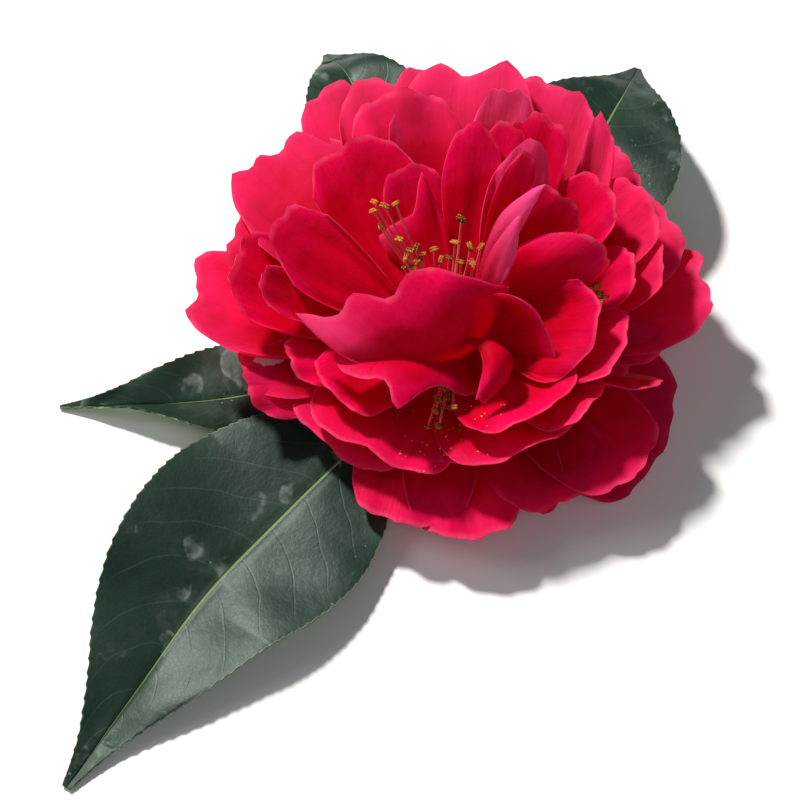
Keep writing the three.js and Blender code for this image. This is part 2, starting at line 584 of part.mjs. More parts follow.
// The origin goes to the middle of the box, at the surface.
const box = new THREE.Box3().setFromObject(spray);
const middle = box.getCenter(vec(0, 0, 0));
spray.children.forEach((mesh) => mesh.geometry.translate(-middle.x, -middle.y, -box.min.z));

export default spray;
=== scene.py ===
import math

import bpy
import numpy as np
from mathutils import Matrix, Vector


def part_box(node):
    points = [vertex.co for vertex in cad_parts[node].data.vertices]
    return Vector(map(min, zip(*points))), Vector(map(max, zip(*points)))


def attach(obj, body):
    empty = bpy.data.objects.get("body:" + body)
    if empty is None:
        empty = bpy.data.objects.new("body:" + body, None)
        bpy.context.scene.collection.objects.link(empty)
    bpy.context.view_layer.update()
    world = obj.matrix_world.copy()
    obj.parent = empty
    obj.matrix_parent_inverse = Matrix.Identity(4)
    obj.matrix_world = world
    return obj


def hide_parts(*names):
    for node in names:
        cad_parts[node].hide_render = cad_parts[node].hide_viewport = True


# Camellia flower: one large loose double bloom on a short cut twig with four leaves, lying face up.
# Places are in millimetres from the foot of the bloom's axis on the surface. The bloom faces +Z, and
# +Y runs along the twig towards its cut end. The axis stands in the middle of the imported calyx.

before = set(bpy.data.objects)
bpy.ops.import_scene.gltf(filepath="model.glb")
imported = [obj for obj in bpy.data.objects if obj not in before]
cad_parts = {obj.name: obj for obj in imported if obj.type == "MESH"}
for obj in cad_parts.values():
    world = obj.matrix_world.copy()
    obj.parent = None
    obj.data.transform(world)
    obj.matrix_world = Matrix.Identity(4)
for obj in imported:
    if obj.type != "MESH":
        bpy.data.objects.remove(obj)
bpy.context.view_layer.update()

# Twig: a short woody shoot that lies on the surface and carries the bloom and the leaves. Grey-brown
# bark over green rind, pressed flat underneath, with old leaf scars as low rings, and a cut end that
# shows the pale green wood.
MM = 0.001
RECEPTACLE_Z = 17.0
TWIG_R = 2.2
TWIG_FLAT = 0.3
TWIG_FRONT = (-1.3, -4.4)
TWIG_CUT = (19.0, 67.0)
TWIG_SWAY = 0.9
TWIG_SCARS = ((0.28, 0.04, 0.14), (0.4, 0.025, 0.1), (0.72, 0.02, 0.07))
TWIG_SIDES = 28
FRONT_END = (0.72, 0.93)
CUT_CHAMFER = 0.9
NECK_FOOT = 1.2
NECK_TOP = 4.3
NECK_R = (2.0, 2.4)
BARK_BROWN = ((0.13, 0.085, 0.045), (0.34, 0.26, 0.15))
BARK_GREEN = (0.17, 0.2, 0.07)
LENTICEL = (0.46, 0.38, 0.26)
CUT_WOOD = ((0.55, 0.6, 0.22), (0.72, 0.72, 0.4))
calyx_low, calyx_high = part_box("calyx")
BLOOM_FOOT = np.array([(calyx_low.x + calyx_high.x) / 2, (calyx_low.y + calyx_high.y) / 2, 0.0])


def unit(a):
    """Arrows of length one."""
    a = np.asarray(a, float)
    return a / np.linalg.norm(a, axis=-1, keepdims=True)


def ring_faces(rings, sides):
    """Faces over rings of points, closed by one more point at each end."""
    faces = []
    for i in range(rings - 1):
        for k in range(sides):
            a = i * sides + k
            b = i * sides + (k + 1) % sides
            faces.append((a, b, b + sides, a + sides))
    ends = rings * sides
    last = ends - sides
    for k in range(sides):
        n = (k + 1) % sides
        faces.append((ends, n, k))
        faces.append((ends + 1, last + k, last + n))
    return faces


def round_bar(path, radii, sides):
    """Points and faces of a round bar along a path, closed at both ends."""
    path = np.asarray(path, float)
    radii = np.broadcast_to(radii, (len(path), sides)) if np.ndim(radii) == 2 else np.repeat(
        np.asarray(radii, float)[:, None], sides, axis=1)
    ways = unit(np.gradient(path, axis=0))
    side = np.array([1.0, 0, 0]) if abs(ways[0][2]) > 0.9 else np.array([0, 0, 1.0])
    rings = []
    turn = np.linspace(0, 2 * math.pi, sides, endpoint=False)[:, None]
    for p, way, r in zip(path, ways, radii):
        side = unit(side - way * side.dot(way))
        other = np.cross(way, side)
        rings.append(p + r[:, None] * (np.cos(turn) * side + np.sin(turn) * other))
    return np.vstack(rings + [path[:1], path[-1:]]), ring_faces(len(path), sides)


def in_scene(name, data):
    """A new object of that mesh, curve, lamp or camera, in the scene."""
    thing = bpy.data.objects.new(name, data)
    bpy.context.scene.collection.objects.link(thing)
    return thing


def grown_piece(name, points, faces, material, slot, replaced, sharp=60, grown=None, marks=None):
    """A closed piece from points in millimetres, with its own map and marks, riding on the one body."""
    mesh = bpy.data.meshes.new(name)
    mesh.from_pydata((np.asarray(points) * MM + BLOOM_FOOT).tolist(), [], faces)
    mesh.polygons.foreach_set("use_smooth", np.ones(len(mesh.polygons), bool))
    if grown is not None:
        corners = np.empty(len(mesh.loops), np.int32)
        mesh.loops.foreach_get("vertex_index", corners)
        mesh.uv_layers.new(name="grown").data.foreach_set("uv", grown[corners].ravel())
    for mark, values in (marks or {}).items():
        mesh.attributes.new(mark, "FLOAT", "POINT").data.foreach_set("value", values)
    mesh.materials.append(material)
    mesh.update()
    mesh.set_sharp_from_angle(angle=math.radians(sharp))
    piece = in_scene(name, mesh)
    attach(piece, "root")
    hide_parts(replaced)


def gathered(parts):
    """Several closed bodies as one list of points and one of faces."""
    points = []
    faces = []
    for own_points, own_faces in parts:
        shift = sum(len(p) for p in points)
        points.append(own_points)
        faces.extend(tuple(a + shift for a in face) for face in own_faces)
    return np.vstack(points), faces


def add(tree, kind, **values):
    """A node of that kind: values name its settings, or its sockets by number or name."""
    node = tree.nodes.new(kind)
    for key, value in values.items():
        if key.startswith("in_"):
            wanted = key[3:]
            socket = node.inputs[int(wanted) if wanted.isdigit() else wanted.replace("_", " ")]
            if isinstance(value, bpy.types.NodeSocket):
                tree.links.new(value, socket)
            else:
                socket.default_value = value
        else:
            setattr(node, key, value)
    return node


def new_finish(name):
    """A new material, its Principled shader and the place on the object in metres."""
    material = bpy.data.materials.new(name)
    material.use_nodes = True
    skin = material.node_tree.nodes["Principled BSDF"]
    return material, skin, add(material.node_tree, "ShaderNodeTexCoord").outputs["Object"]


def marked(tree, mark):
    """A piece's own mark, as a value."""
    return add(tree, "ShaderNodeAttribute", attribute_name=mark).outputs["Fac"]


def tree_of(*values):
    """The node tree that holds the first socket among those values."""
    return next(value.id_data for value in values if isinstance(value, bpy.types.NodeSocket))


def sums(operation, a, b=None, c=None, clamp=False):
    """A Math node: its result, from sockets or numbers."""
    given = {f"in_{k}": value for k, value in enumerate((a, b, c)) if value is not None}
    node = add(tree_of(a, b, c), "ShaderNodeMath", operation=operation, use_clamp=clamp, **given)
    return node.outputs[0]


def times(a, b):
    """One value times another."""
    return sums("MULTIPLY", a, b)


def blended(share, first, second):
    """A colour between two others."""
    tree = tree_of(share, first, second)
    node = add(tree, "ShaderNodeMix", data_type="RGBA")
    for socket, value in ((node.inputs[0], share), (node.inputs[6], first), (node.inputs[7], second)):
        if isinstance(value, bpy.types.NodeSocket):
            tree.links.new(value, socket)
        else:
            socket.default_value = value if isinstance(value, (int, float)) else (*value, 1.0)
    return node.outputs[2]


def ramp(value, low, high, start=0.0, end=1.0):
    """A value stretched smoothly from low..high to start..end."""
    node = add(tree_of(value), "ShaderNodeMapRange", interpolation_type="SMOOTHSTEP", in_0=value,
               in_1=low, in_2=high, in_3=start, in_4=end)
    return node.outputs[0]


def clouds(vector, scale, detail=3.0, stretch=(1, 1, 1), rough=0.55):
    """A noise value over a stretched vector."""
    tree = tree_of(vector)
    spread = add(tree, "ShaderNodeMapping", in_Vector=vector, in_Scale=stretch)
    noise = add(tree, "ShaderNodeTexNoise", in_Vector=spread.outputs[0], in_Scale=scale,
                in_Detail=detail, in_Roughness=rough)
    return noise.outputs["Fac"]


def opened_tree(use, name, sockets, results):
    """A new node tree: the tree, its inputs' identifiers, the sockets that give them, and its results."""
    tree = bpy.data.node_groups.new(name, use)
    inputs = {}
    for label, kind in sockets.items():
        socket = tree.interface.new_socket(label, in_out="INPUT", socket_type="NodeSocket" + kind)
        inputs[label] = socket.identifier
    for label, kind in results.items():
        tree.interface.new_socket(label, in_out="OUTPUT", socket_type="NodeSocket" + kind)
    given = tree.nodes.new("NodeGroupInput").outputs
    return tree, inputs, given, tree.nodes.new("NodeGroupOutput").inputs


def mottle_tree():
    """A shader group for tissue of two colours: the first where its noise is low, the second where high."""
    tree, _, given, results = opened_tree("ShaderNodeTree", "mottle", {
        "Place": "Vector", "Scale": "Float", "Detail": "Float", "Low": "Float", "High": "Float",
        "First": "Color", "Second": "Color",
    }, {"Colour": "Color", "Noise": "Float"})
    noise = clouds(given["Place"], given["Scale"], given["Detail"])
    share = ramp(noise, given["Low"], given["High"])
    tree.links.new(blended(share, given["First"], given["Second"]), results["Colour"])
    tree.links.new(noise, results["Noise"])
    return tree


mottle = mottle_tree()


def mottled(place, scale, detail, low, high, colours):
    """The mottle group placed in a material: its outputs."""
    first, second = colours
    return add(tree_of(place), "ShaderNodeGroup", node_tree=mottle, in_Place=place, in_Scale=scale,
               in_Detail=detail, in_Low=low, in_High=high, in_First=(*first, 1.0),
               in_Second=(*second, 1.0)).outputs


def cells(vector, scale, feature="F1"):
    """The distance value of a pattern of cells."""
    pattern = add(tree_of(vector), "ShaderNodeTexVoronoi", in_Vector=vector, in_Scale=scale,
                  feature=feature)
    return pattern.outputs["Distance"]


def raised(height, distance, strength=1.0, under=None):
    """A Bump node's normal from a height value, over another normal."""
    over = {} if under is None else {"in_Normal": under}
    node = add(tree_of(height), "ShaderNodeBump", in_Height=height, in_Distance=distance,
               in_Strength=strength, **over)
    return node.outputs[0]


def dressed(skin, colour, roughness, normal=None, **fixed):
    """Joins colour, roughness and normal to the shader, and sets its fixed values on their sockets."""
    for name, socket in (("Base Color", colour), ("Roughness", roughness), ("Normal", normal)):
        if socket is not None:
            tree_of(socket).links.new(socket, skin.inputs[name])
    for name, value in fixed.items():
        skin.inputs[name.replace("_", " ")].default_value = value


bark, skin, place = new_finish("twig_bark")
tree = bark.node_tree
fibre = clouds(place, 900, 5, (1, 0.18, 1))
blotch = clouds(place, 220, 3)
stretched = add(tree, "ShaderNodeMapping", in_Vector=place, in_Scale=(1, 0.45, 1))
lenticel = ramp(cells(stretched.outputs[0], 520), 0.12, 0.2, 1, 0)
tone = blended(ramp(fibre, 0.35, 0.65), *BARK_BROWN)
tone = blended(ramp(blotch, 0.48, 0.66), tone, BARK_GREEN)
tone = blended(lenticel, tone, LENTICEL)
at_cut = marked(tree, "cut_wood")
wood = mottled(place, 2600, 2, 0.35, 0.7, CUT_WOOD)["Colour"]
relief = sums("ADD", fibre, times(lenticel, 0.6))
dressed(skin, blended(at_cut, tone, wood), ramp(fibre, 0.3, 0.7, 0.62, 0.85), raised(relief, 0.00022))

steps = np.linspace(0, 1, 121)
line = np.stack([
    TWIG_FRONT[0] + (TWIG_CUT[0] - TWIG_FRONT[0]) * steps + TWIG_SWAY * np.sin(7 * steps),
    TWIG_FRONT[1] + (TWIG_CUT[1] - TWIG_FRONT[1]) * steps,
    np.full_like(steps, TWIG_R - TWIG_FLAT),
], axis=1)
girth = TWIG_R * (1 - 0.012 + sum(
    rise * np.exp(-(((steps - at) / wide) ** 2)) for at, wide, rise in TWIG_SCARS))
girth += 0.04 * np.sin(61 * steps) * np.sin(23 * steps + 1)
girth[:2] *= FRONT_END
line = np.vstack([line, line[-1:] + 0.02 * (line[-1:] - line[-2:-1])])
girth = np.append(girth, girth[-1] * CUT_CHAMFER)
around = np.linspace(0, 2 * math.pi, TWIG_SIDES, endpoint=False)
uneven = 1 + 0.02 * np.sin(3 * around + 2) * np.ones((len(girth), 1))
shoot = round_bar(line, girth[:, None] * uneven, TWIG_SIDES)
heights = np.linspace(NECK_FOOT, NECK_TOP, 14)
collar = np.interp(heights, (NECK_FOOT, NECK_TOP), NECK_R) + 0.1 * np.sin(heights * 7.5)
neck = round_bar(np.stack([0 * heights, 0 * heights, heights], axis=1), collar, TWIG_SIDES)
points, faces = gathered([shoot, neck])
points[:, 2] = np.maximum(points[:, 2], 0)
cut = np.zeros(len(points))
rim = len(line) * TWIG_SIDES
cut[rim - TWIG_SIDES:rim] = 1
cut[rim + 1] = 1
grown_piece("twig_bark", points, faces, bark, "twig_bark", "twig", 50, marks={"cut_wood": cut})

# Calyx: the foot of the bloom, wrapped in six overlapping bud scales. They are thick and leathery,
# downy yellow-green with thin brown rims, and grow from a green cone under the receptacle.
CALYX_PROFILE = ((2.6, -12.4), (5.8, -11.7), (8.2, -9.8), (9.2, -7.8))
SCALES = 6
SCALE_THICK = 0.7
SCALE_HALF_ANGLE = math.radians(36)
SCALE_R = (5.2, 5.6)
SCALE_FOOT = -11.6
SCALE_RISE = 3.8
SCALE_GREEN = ((0.2, 0.27, 0.07), (0.42, 0.46, 0.2))
SCALE_RIM = (0.17, 0.08, 0.035)


def turned_body(profile, sides, fine):
    """Points and faces of a body turned about the bloom's axis, closed on the axis."""
    profile = np.asarray(profile, float)
    run = np.linspace(0, len(profile) - 1, fine)
    radius = np.interp(run, np.arange(len(profile)), profile[:, 0])
    height = np.interp(run, np.arange(len(profile)), profile[:, 1]) + RECEPTACLE_Z
    points = []
    for r, z in zip(radius, height):
        for k in range(sides):
            a = 2 * math.pi * k / sides
            points.append((r * math.cos(a), r * math.sin(a), z))
    points += [(0, 0, height[0]), (0, 0, height[-1])]
    return np.array(points), ring_faces(fine, sides)


def closed_blade(sheet, below, above):
    """Points and faces of a thin closed blade round a grid of points."""
    rows, cols = sheet.shape[:2]
    normal = unit(np.cross(np.gradient(sheet, axis=0), np.gradient(sheet, axis=1)))
    under = sheet - normal * np.asarray(below)[..., None]
    over = sheet + normal * np.asarray(above)[..., None]
    points = np.concatenate([under.reshape(-1, 3), over.reshape(-1, 3)])
    shift = rows * cols
    index = np.arange(shift).reshape(rows, cols)
    a = index[:-1, :-1].ravel()
    b = index[:-1, 1:].ravel()
    c = index[1:, 1:].ravel()
    d = index[1:, :-1].ravel()
    faces = [tuple(f) for f in np.stack([a, b, c, d], axis=1).tolist()]
    faces += [tuple(f) for f in (np.stack([a, d, c, b], axis=1) + shift).tolist()]
    rim = [*index[0, :-1], *index[:-1, -1], *index[-1, :0:-1], *index[:0:-1, 0]]
    for k, p in enumerate(rim):
        q = rim[(k + 1) % len(rim)]
        faces.append((int(p), int(p + shift), int(q + shift), int(q)))
    return points, faces


def grown_map(tree):
    """Values from a blade's own map: along from foot to tip, and across from -1 to 1 at its rims."""
    own = add(tree, "ShaderNodeUVMap", uv_map="grown").outputs[0]
    split = add(tree, "ShaderNodeSeparateXYZ", in_Vector=own)
    return split.outputs["Y"], sums("MULTIPLY_ADD", split.outputs["X"], 2, -1)


down, skin, place = new_finish("bud_scale")
along, across = grown_map(down.node_tree)
edge = sums("MAXIMUM", along, sums("ABSOLUTE", across))
brown = ramp(sums("ADD", edge, times(clouds(place, 1500), 0.12)), 0.9, 1.05)
green = mottled(place, 500, 4, 0.35, 0.7, SCALE_GREEN)
tone = blended(brown, green["Colour"], SCALE_RIM)
hairs = raised(clouds(place, 3800, 3), 0.00012)
dressed(skin, tone, ramp(ramp(green["Noise"], 0.35, 0.7), 0, 1, 0.5, 0.68), hairs,
        Sheen_Weight=0.35, Sheen_Roughness=0.4)

parts = [turned_body(CALYX_PROFILE, 48, 16)]
maps = [np.full((len(parts[0][0]), 2), 0.5)]
i = np.linspace(0, 1, 22)[:, None]
t = np.linspace(-1, 1, 25)[None, :]
for k in range(SCALES):
    az = 2 * math.pi * k / SCALES
    u = i * (1 - 0.3 * t * t)
    angle = az + t * SCALE_HALF_ANGLE * np.sin(math.pi * (0.3 + 0.45 * u))
    radius = SCALE_R[0] + SCALE_R[1] * np.sin(u * math.pi / 2) + 0.35 * t
    height = RECEPTACLE_Z + SCALE_FOOT + SCALE_RISE * u ** 1.4
    sheet = np.stack([radius * np.cos(angle), radius * np.sin(angle), height], axis=-1)
    thick = SCALE_THICK / 2 * (1 - 0.6 * np.maximum(i ** 4, abs(t) ** 4))
    parts.append(closed_blade(sheet, thick, thick))
    own = np.stack(np.broadcast_arrays((t + 1) / 2, i), axis=-1).reshape(-1, 2)
    maps.append(np.vstack([own, own]))
points, faces = gathered(parts)
grown_piece("calyx_scales", points, faces, down, "scale_green", "calyx", 50, grown=np.vstack(maps))

# Petals: 56 soft blades of satin tissue in five layers, from the broad guard petals to the petaloids
# at the heart, all grown on one receptacle. Each is cupped, waved at its rim, finely veined along its
# length, and paler where its rim is thin, which is partly a painted highlight. Their outer parts are
# painted pinker where they face the light, with painted satin glints. Light goes through each.
HUB_PROFILE = ((2.4, -7.4), (5.4, -6.8), (8.2, -5.4), (9, -3), (8.2, 0.4), (5.2, 2.2), (2.6, 2.8))
FOOT_R = (7.6, 6.6, 5.8, 5, 4.4)
FOOT_Z = (-4, -2.5, -1, 0.5, 1.8)
SHOULDER = 0.66
CLAW = 0.2
PETAL_THICK = 0.46
PETAL_RIM = 0.14
TIP_BREADTH = 2.7
NOTCH_WIDE = 0.16
RIM_UNEVEN = (0.011, 0.006, 0.002)
CUP_OPENS = (1.15, 0.35)
BUCKLE = 0.5
BROAD_PETAL = 22
REFLEX = 0.5
HOOK_FROM = 0.8
CURL_FROM = 0.55
# Pale pink of the outer layers, partly their own and partly painted light, stronger towards the top.
LAYER_PALE_LIT = (0.15, 0.1, 0, 0, 0)
PALE_LIT_FROM = 0.62
PALE_LIT_UP = 50
WORN_GLINT_WIDE = 0.3
WORN_GLINT_LONG = 0.14
PETAL_SEED = 56
PETAL_RED = ((0.56, 0.0, 0.015), (0.72, 0.0, 0.027))
PETAL_FLUSH = (0.78, 0.0, 0.036)
# Partly the petals' own paler tips, partly painted light where their outer zones face the lamp.
PETAL_TIP_LIT = (0.92, 0.005, 0.15)
PETAL_OUTSIDE = (0.74, 0.0, 0.07)
PETAL_VEIN = (0.4, 0.0, 0.012)
# Partly the thin tissue's own paler colour, partly a painted highlight along the rim.
PETAL_RIM_HIGHLIGHT = (0.92, 0.13, 0.3)
# A pale pink, partly a painted highlight on faces turned to the light.
PETAL_LIT_BLUSH = (1.0, 0.12, 0.4)
# Painted sheen: the colour of fine satin glints on the lit outer zones.
PETAL_SATIN_GLINT = (1.0, 0.1, 0.34)
PETAL_SPECK = (0.03, 0.002, 0.004)
# Near white: a dry torn patch, partly a painted glint on it.
PETAL_BRUISE_GLINT = (0.95, 0.9, 0.87)
PETAL_GLOW = (1.0, 0.0, 0.04)
GLOW_SHARE = 0.46
VIEW = math.radians(60)

# A row holds a petal's tip (across, up, height), width, sag, roll, cup, curl of the tip, wave, notch and
# layer. Its own choices follow: foot, rim, shoulder, spread, breadth, hook, bow, az and notch_at are for
# its form, and turned (its outer face towards the viewer), pale and worn are for its colour. The pale
# choice is a pale pink that is partly a painted highlight on faces turned to the light, and the worn one
# is a torn patch painted near white, partly as a painted glint.
PETALS = (
    (-49, 7, 1, 29, 3, 8, 22, 0, 1.0, 0, 0,
     {"rim": (0.7, 0.89, 0.98, 1.0, 0.99, 0.96, 0.98, 0.92, 0.72)}),
    (-41, 17, 5, 20, 3, 0, 25, 0, 0.8, 0, 0),
    (-36, 32.5, 10, 31, 3, 5, 25, -2, 1.2, 0, 1,
     {"pale": (0.28, -0.3, 1.5, 0.45),
      "rim": (0.76, 0.93, 0.97, 0.95, 1.0, 0.97, 1.0, 0.91, 0.68)}),
    (-22, 47, 10, 22, 3, 0, 25, -2, 0.8, 0.05, 0, {"notch_at": -0.4, "pale": (0.3, 0, 2, 0.55)}),
    (-11, 49, 13, 26, 3, 0, 25, -2, 0.8, 0.05, 0, {"pale": (0.35, 0, 2, 0.55)}),
    (4, 50, 20, 30, 4, 0, 28, -5, 0.8, 0, 1,
     {"pale": (0.35, 0, 2, 0.55), "rim": (0.7, 0.92, 1.0, 0.99, 0.94, 0.96, 0.97, 0.9, 0.7)}),
    (21, 46, 13, 24, 3, 0, 28, -1, 0.6, 0, 0),
    (33, 32.5, 9, 20, 3, 0, 25, -1, 0.8, 0, 0),
    (43, 19, 4, 22, 3, 0, 25, -1, 0.8, 0, 0),
    (49, 7, 2, 25, 3, 0, 20, -1, 0.9, 0, 0,
     {"rim": (0.7, 0.9, 0.97, 0.99, 1.0, 0.98, 1.0, 0.94, 0.74)}),
    (40, -3, -1, 14, 2, 0, 20, -1, 0.6, 0, 1),
    (34, -7, -2, 16, 2, 0, 20, -1, 0.6, 0, 1),
    (41, -24, -17.3, 37, 3, 0, 16, 0, 0.8, 0, 0),
    (35, -28, -6, 24, 3, 0, 22, 0, 0.6, 0, 0),
    (23, -33, -7, 24, 3, 0, 20, 0, 0.6, 0, 0),
    (-10, 44, 17, 22, 3, 0, 28, -3, 0.8, 0, 1),
    (8, -40, -8, 30, 3, 0, 20, 0, 1.0, 0.14, 1, {"notch_at": 0.45}),
    (-9, -38, -8, 23, 2, 0, 20, 0, 0.8, 0, 0),
    (-24, -23, -5, 28, 2, 0, 20, 0, 0.8, 0, 0),
    (-38, -14, -4, 16, 2, -15, 30, 2, 0.8, 0, 0, {"worn": (-0.54, 0.83)}),
    (-40, -8, -3, 20, 3, 0, 30, 2, 0.8, 0, 0),
    (-41, 9, 7, 23, 4, 0, 40, 2, 0.6, 0, 2),
    (-31, 19.8, 15, 19, 1, 5, (25, 20), 0, 0.3, 0, 3,
     {"foot": (-5, -3, 1), "spread": (0.5, 1.02),
      "rim": (0.8, 0.9, 0.96, 0.99, 1.0, 1.0, 0.98, 0.89, 0.7)}),
    (-19, 33.5, 15, 20.5, 2, 0, (20, 60), -1, 0.6, 0, 2,
     {"foot": (-5.5, 3.5, 0.5), "spread": (1.0, 1.2),
      "rim": (0.7, 0.9, 0.97, 1.0, 1.01, 0.99, 0.98, 0.93, 0.78)}),
    (-8.3, 28.5, 16, 12.5, 1, 0, 25, 0, 0.3, 0, 3, {"foot": (-1, 4, 0.5)}),
    (11.9, 43, 21, 13, 4, 0, 35, 2, 0.4, 0, 2, {"pale": (0.9, 0, 2, 0.45)}),
    (4.6, 36.2, 24, 11.5, 1, -10, 20, 0, 0.3, 0, 3, {"foot": (2.5, 3.8, 1.5), "breadth": 1.9}),
    (10.8, 36.2, 23.5, 11.5, 1, -10, 20, 0, 0.3, 0, 3, {"foot": (4, 3.6, 1.5), "breadth": 2.0}),
    (15.8, 32.8, 24.5, 11.5, 1, 5, 20, 0, 0.3, 0, 3,
     {"foot": (6, 3, 1.5), "breadth": 1.5, "pale": (0.5, 0, 2, 0.3)}),
    (14, 29.6, 27, 7.5, 1, 0, 50, 0, 0.2, 0, 4, {"foot": (5, 3, 2.2), "breadth": 1.9}),
    (18.5, 37.7, 20, 15, 3, 0, 35, 0, 0.5, 0, 2),
    (20.5, 22.3, 20, 13.5, 1, 5, 25, 0, 0.4, 0, 2, {"foot": (6.5, 3, 0)}),
    (24.5, 13.2, 20, 16.5, -2, 5, (-70, -30), -2, 0.3, 0, 2,
     {"foot": (7.3, 2, 0), "spread": (1.1, 0.9),
      "rim": (0.6, 0.92, 1.0, 1.02, 1.0, 0.97, 0.88, 0.74, 0.45)}),
    (29, 38.3, 17, 9, 1, 0, 75, 0, 0.3, 0, 1,
     {"foot": (7, 4, -1.5), "bow": -6, "breadth": 2.2, "pale": (0.3, 0, 2, 0)}),
    (29, 24.5, 17, 16, 4, 0, 35, 0, 0.5, 0, 2),
    (37.5, 22.5, 13, 20, 4, 0, 35, 0, 0.6, 0, 1),
    (39, 14, 10, 22, 4, 0, 30, 0, 0.6, 0, 1),
    (34, 10, 12, 14, 4, 0, 30, 0, 0.6, 0, 2),
    (26.4, -1.3, 12, 20, 1, -10, (30, 35), 0, 0.5, 0, 2,
     {"foot": (7, -1.6, -1), "spread": (1.16, 0.84),
      "rim": (0.64, 0.83, 0.93, 1.0, 1.02, 1.03, 1.0, 0.93, 0.84)}),
    (31, -4, 10, 19, 4, 0, 30, -2, 0.6, 0, 1, {"az": -20}),
    (39, -12, 0, 14, 3, -45, 20, 0, 0.4, 0, 1),
    (17.9, -4.2, 9, 22, 1.5, 32, (20, 35), 0, 0.3, 0, 3,
     {"foot": (5, -4.5, 0), "rim": (0.75, 0.95, 1.0, 1.0, 1.0, 0.99, 0.94, 0.8, 0.6)}),
    (5.5, -15.8, 6, 8, -5, -40, -60, 0, 0.2, 0, 4,
     {"foot": (0, -9.5, 8), "bow": 5, "breadth": 1.9}),
    (-8.3, 7.2, 20, 34, -6, 0, (-30, -20), 0, 0.5, 0, 4,
     {"foot": (2.9, -8, -1), "spread": (0.85, 1.2), "hook": (-5.5, -1.5), "turned": 1,
      "pale": (0.5, 0.75, 0.3, 0.6),
      "rim": (0.36, 0.58, 0.8, 0.93, 0.99, 0.92, 1.05, 0.98, 1.1)}),
    (-9.4, -16.2, 11, 25.5, -2, 0, (-40, -6), -1, 0.6, 0, 3,
     {"foot": (-3, -5.2, 1), "spread": (1.24, 0.92), "turned": 1,
      "rim": (0.66, 0.8, 0.86, 0.85, 1.0, 0.76, 0.62, 0.54, 0.42)}),
    (15.5, -18, 6, 25, 3, 0, 35, 0, 0.6, 0, 2, {"az": -54}),
    (25, -17, 4, 18, 3, 0, 30, 0, 0.6, 0, 1),
    (15, -24, 2, 30, 3, 0, 25, 0, 0.8, 0, 1),
    (-16, -25, 0, 30, 3, 0, 20, 0, 1.0, 0.05, 1),
    (-2, -27, -2, 18, 3, 0, 25, 0, 0.8, 0, 1),
    (-36, 5, 9, 13, 3, 0, 60, 3, 0.4, 0, 2),
    (-30, -8, 3, 14, 3, 0, 30, 0, 0.6, 0, 2),
    (-22, -14, 4, 18, 3, 0, 30, 0, 0.6, 0, 2),
    (16.7, 23.5, 26, 6, -1, -35, -20, 0, 0.2, 0, 4,
     {"foot": (4.5, 2.5, 1.5), "shoulder": 0.55, "bow": 2.4, "breadth": 1.3,
      "pale": (1.0, -0.3, 1.2, 0)}),
    (12.3, 17.9, 23, 6, -1, -35, -25, 0, 0.2, 0, 4,
     {"foot": (5.5, 0.5, 2.5), "shoulder": 0.5, "breadth": 1.3, "pale": (0.95, -0.5, 1.0, 0)}),
    (-5.5, 26.8, 19, 14, 0, -10, (40, -30), 0, 0.3, 0, 4,
     {"foot": (0.5, 3.5, 3), "spread": (0.3, 1.7), "pale": (0.4, 0.9, 0.3, 0),
      "rim": (0.5, 0.66, 0.8, 0.92, 1.0, 0.74, 0.66, 0.62, 0.56)}),
)


def viewed(across, up, height):
    """A place given as across and up in the view from 60 degrees, and its height, as a point."""
    return np.array([across, (up - height * math.cos(VIEW)) / math.sin(VIEW), height + RECEPTACLE_Z])


def smooth_line(points, u):
    """A smooth line through points, at shares u of its way."""
    points = np.asarray(points, float)
    ends = np.concatenate([[2 * points[0] - points[1]], points, [2 * points[-1] - points[-2]]])
    run = np.clip(np.asarray(u, float), 0, 1) * (len(points) - 1)
    k = np.minimum(run.astype(int), len(points) - 2)
    w = (run - k).reshape(run.shape + (1,) * (points.ndim - 1))
    before, here, there, after = (ends[k + n] for n in range(4))
    leave = (there - before) / 2
    arrive = (after - here) / 2
    return ((2 * here - 2 * there + leave + arrive) * w ** 3
            + (-3 * here + 3 * there - 2 * leave - arrive) * w ** 2 + leave * w + here)


def swing(turns):
    """A wave of one, from turns."""
    return np.sin(2 * math.pi * turns)


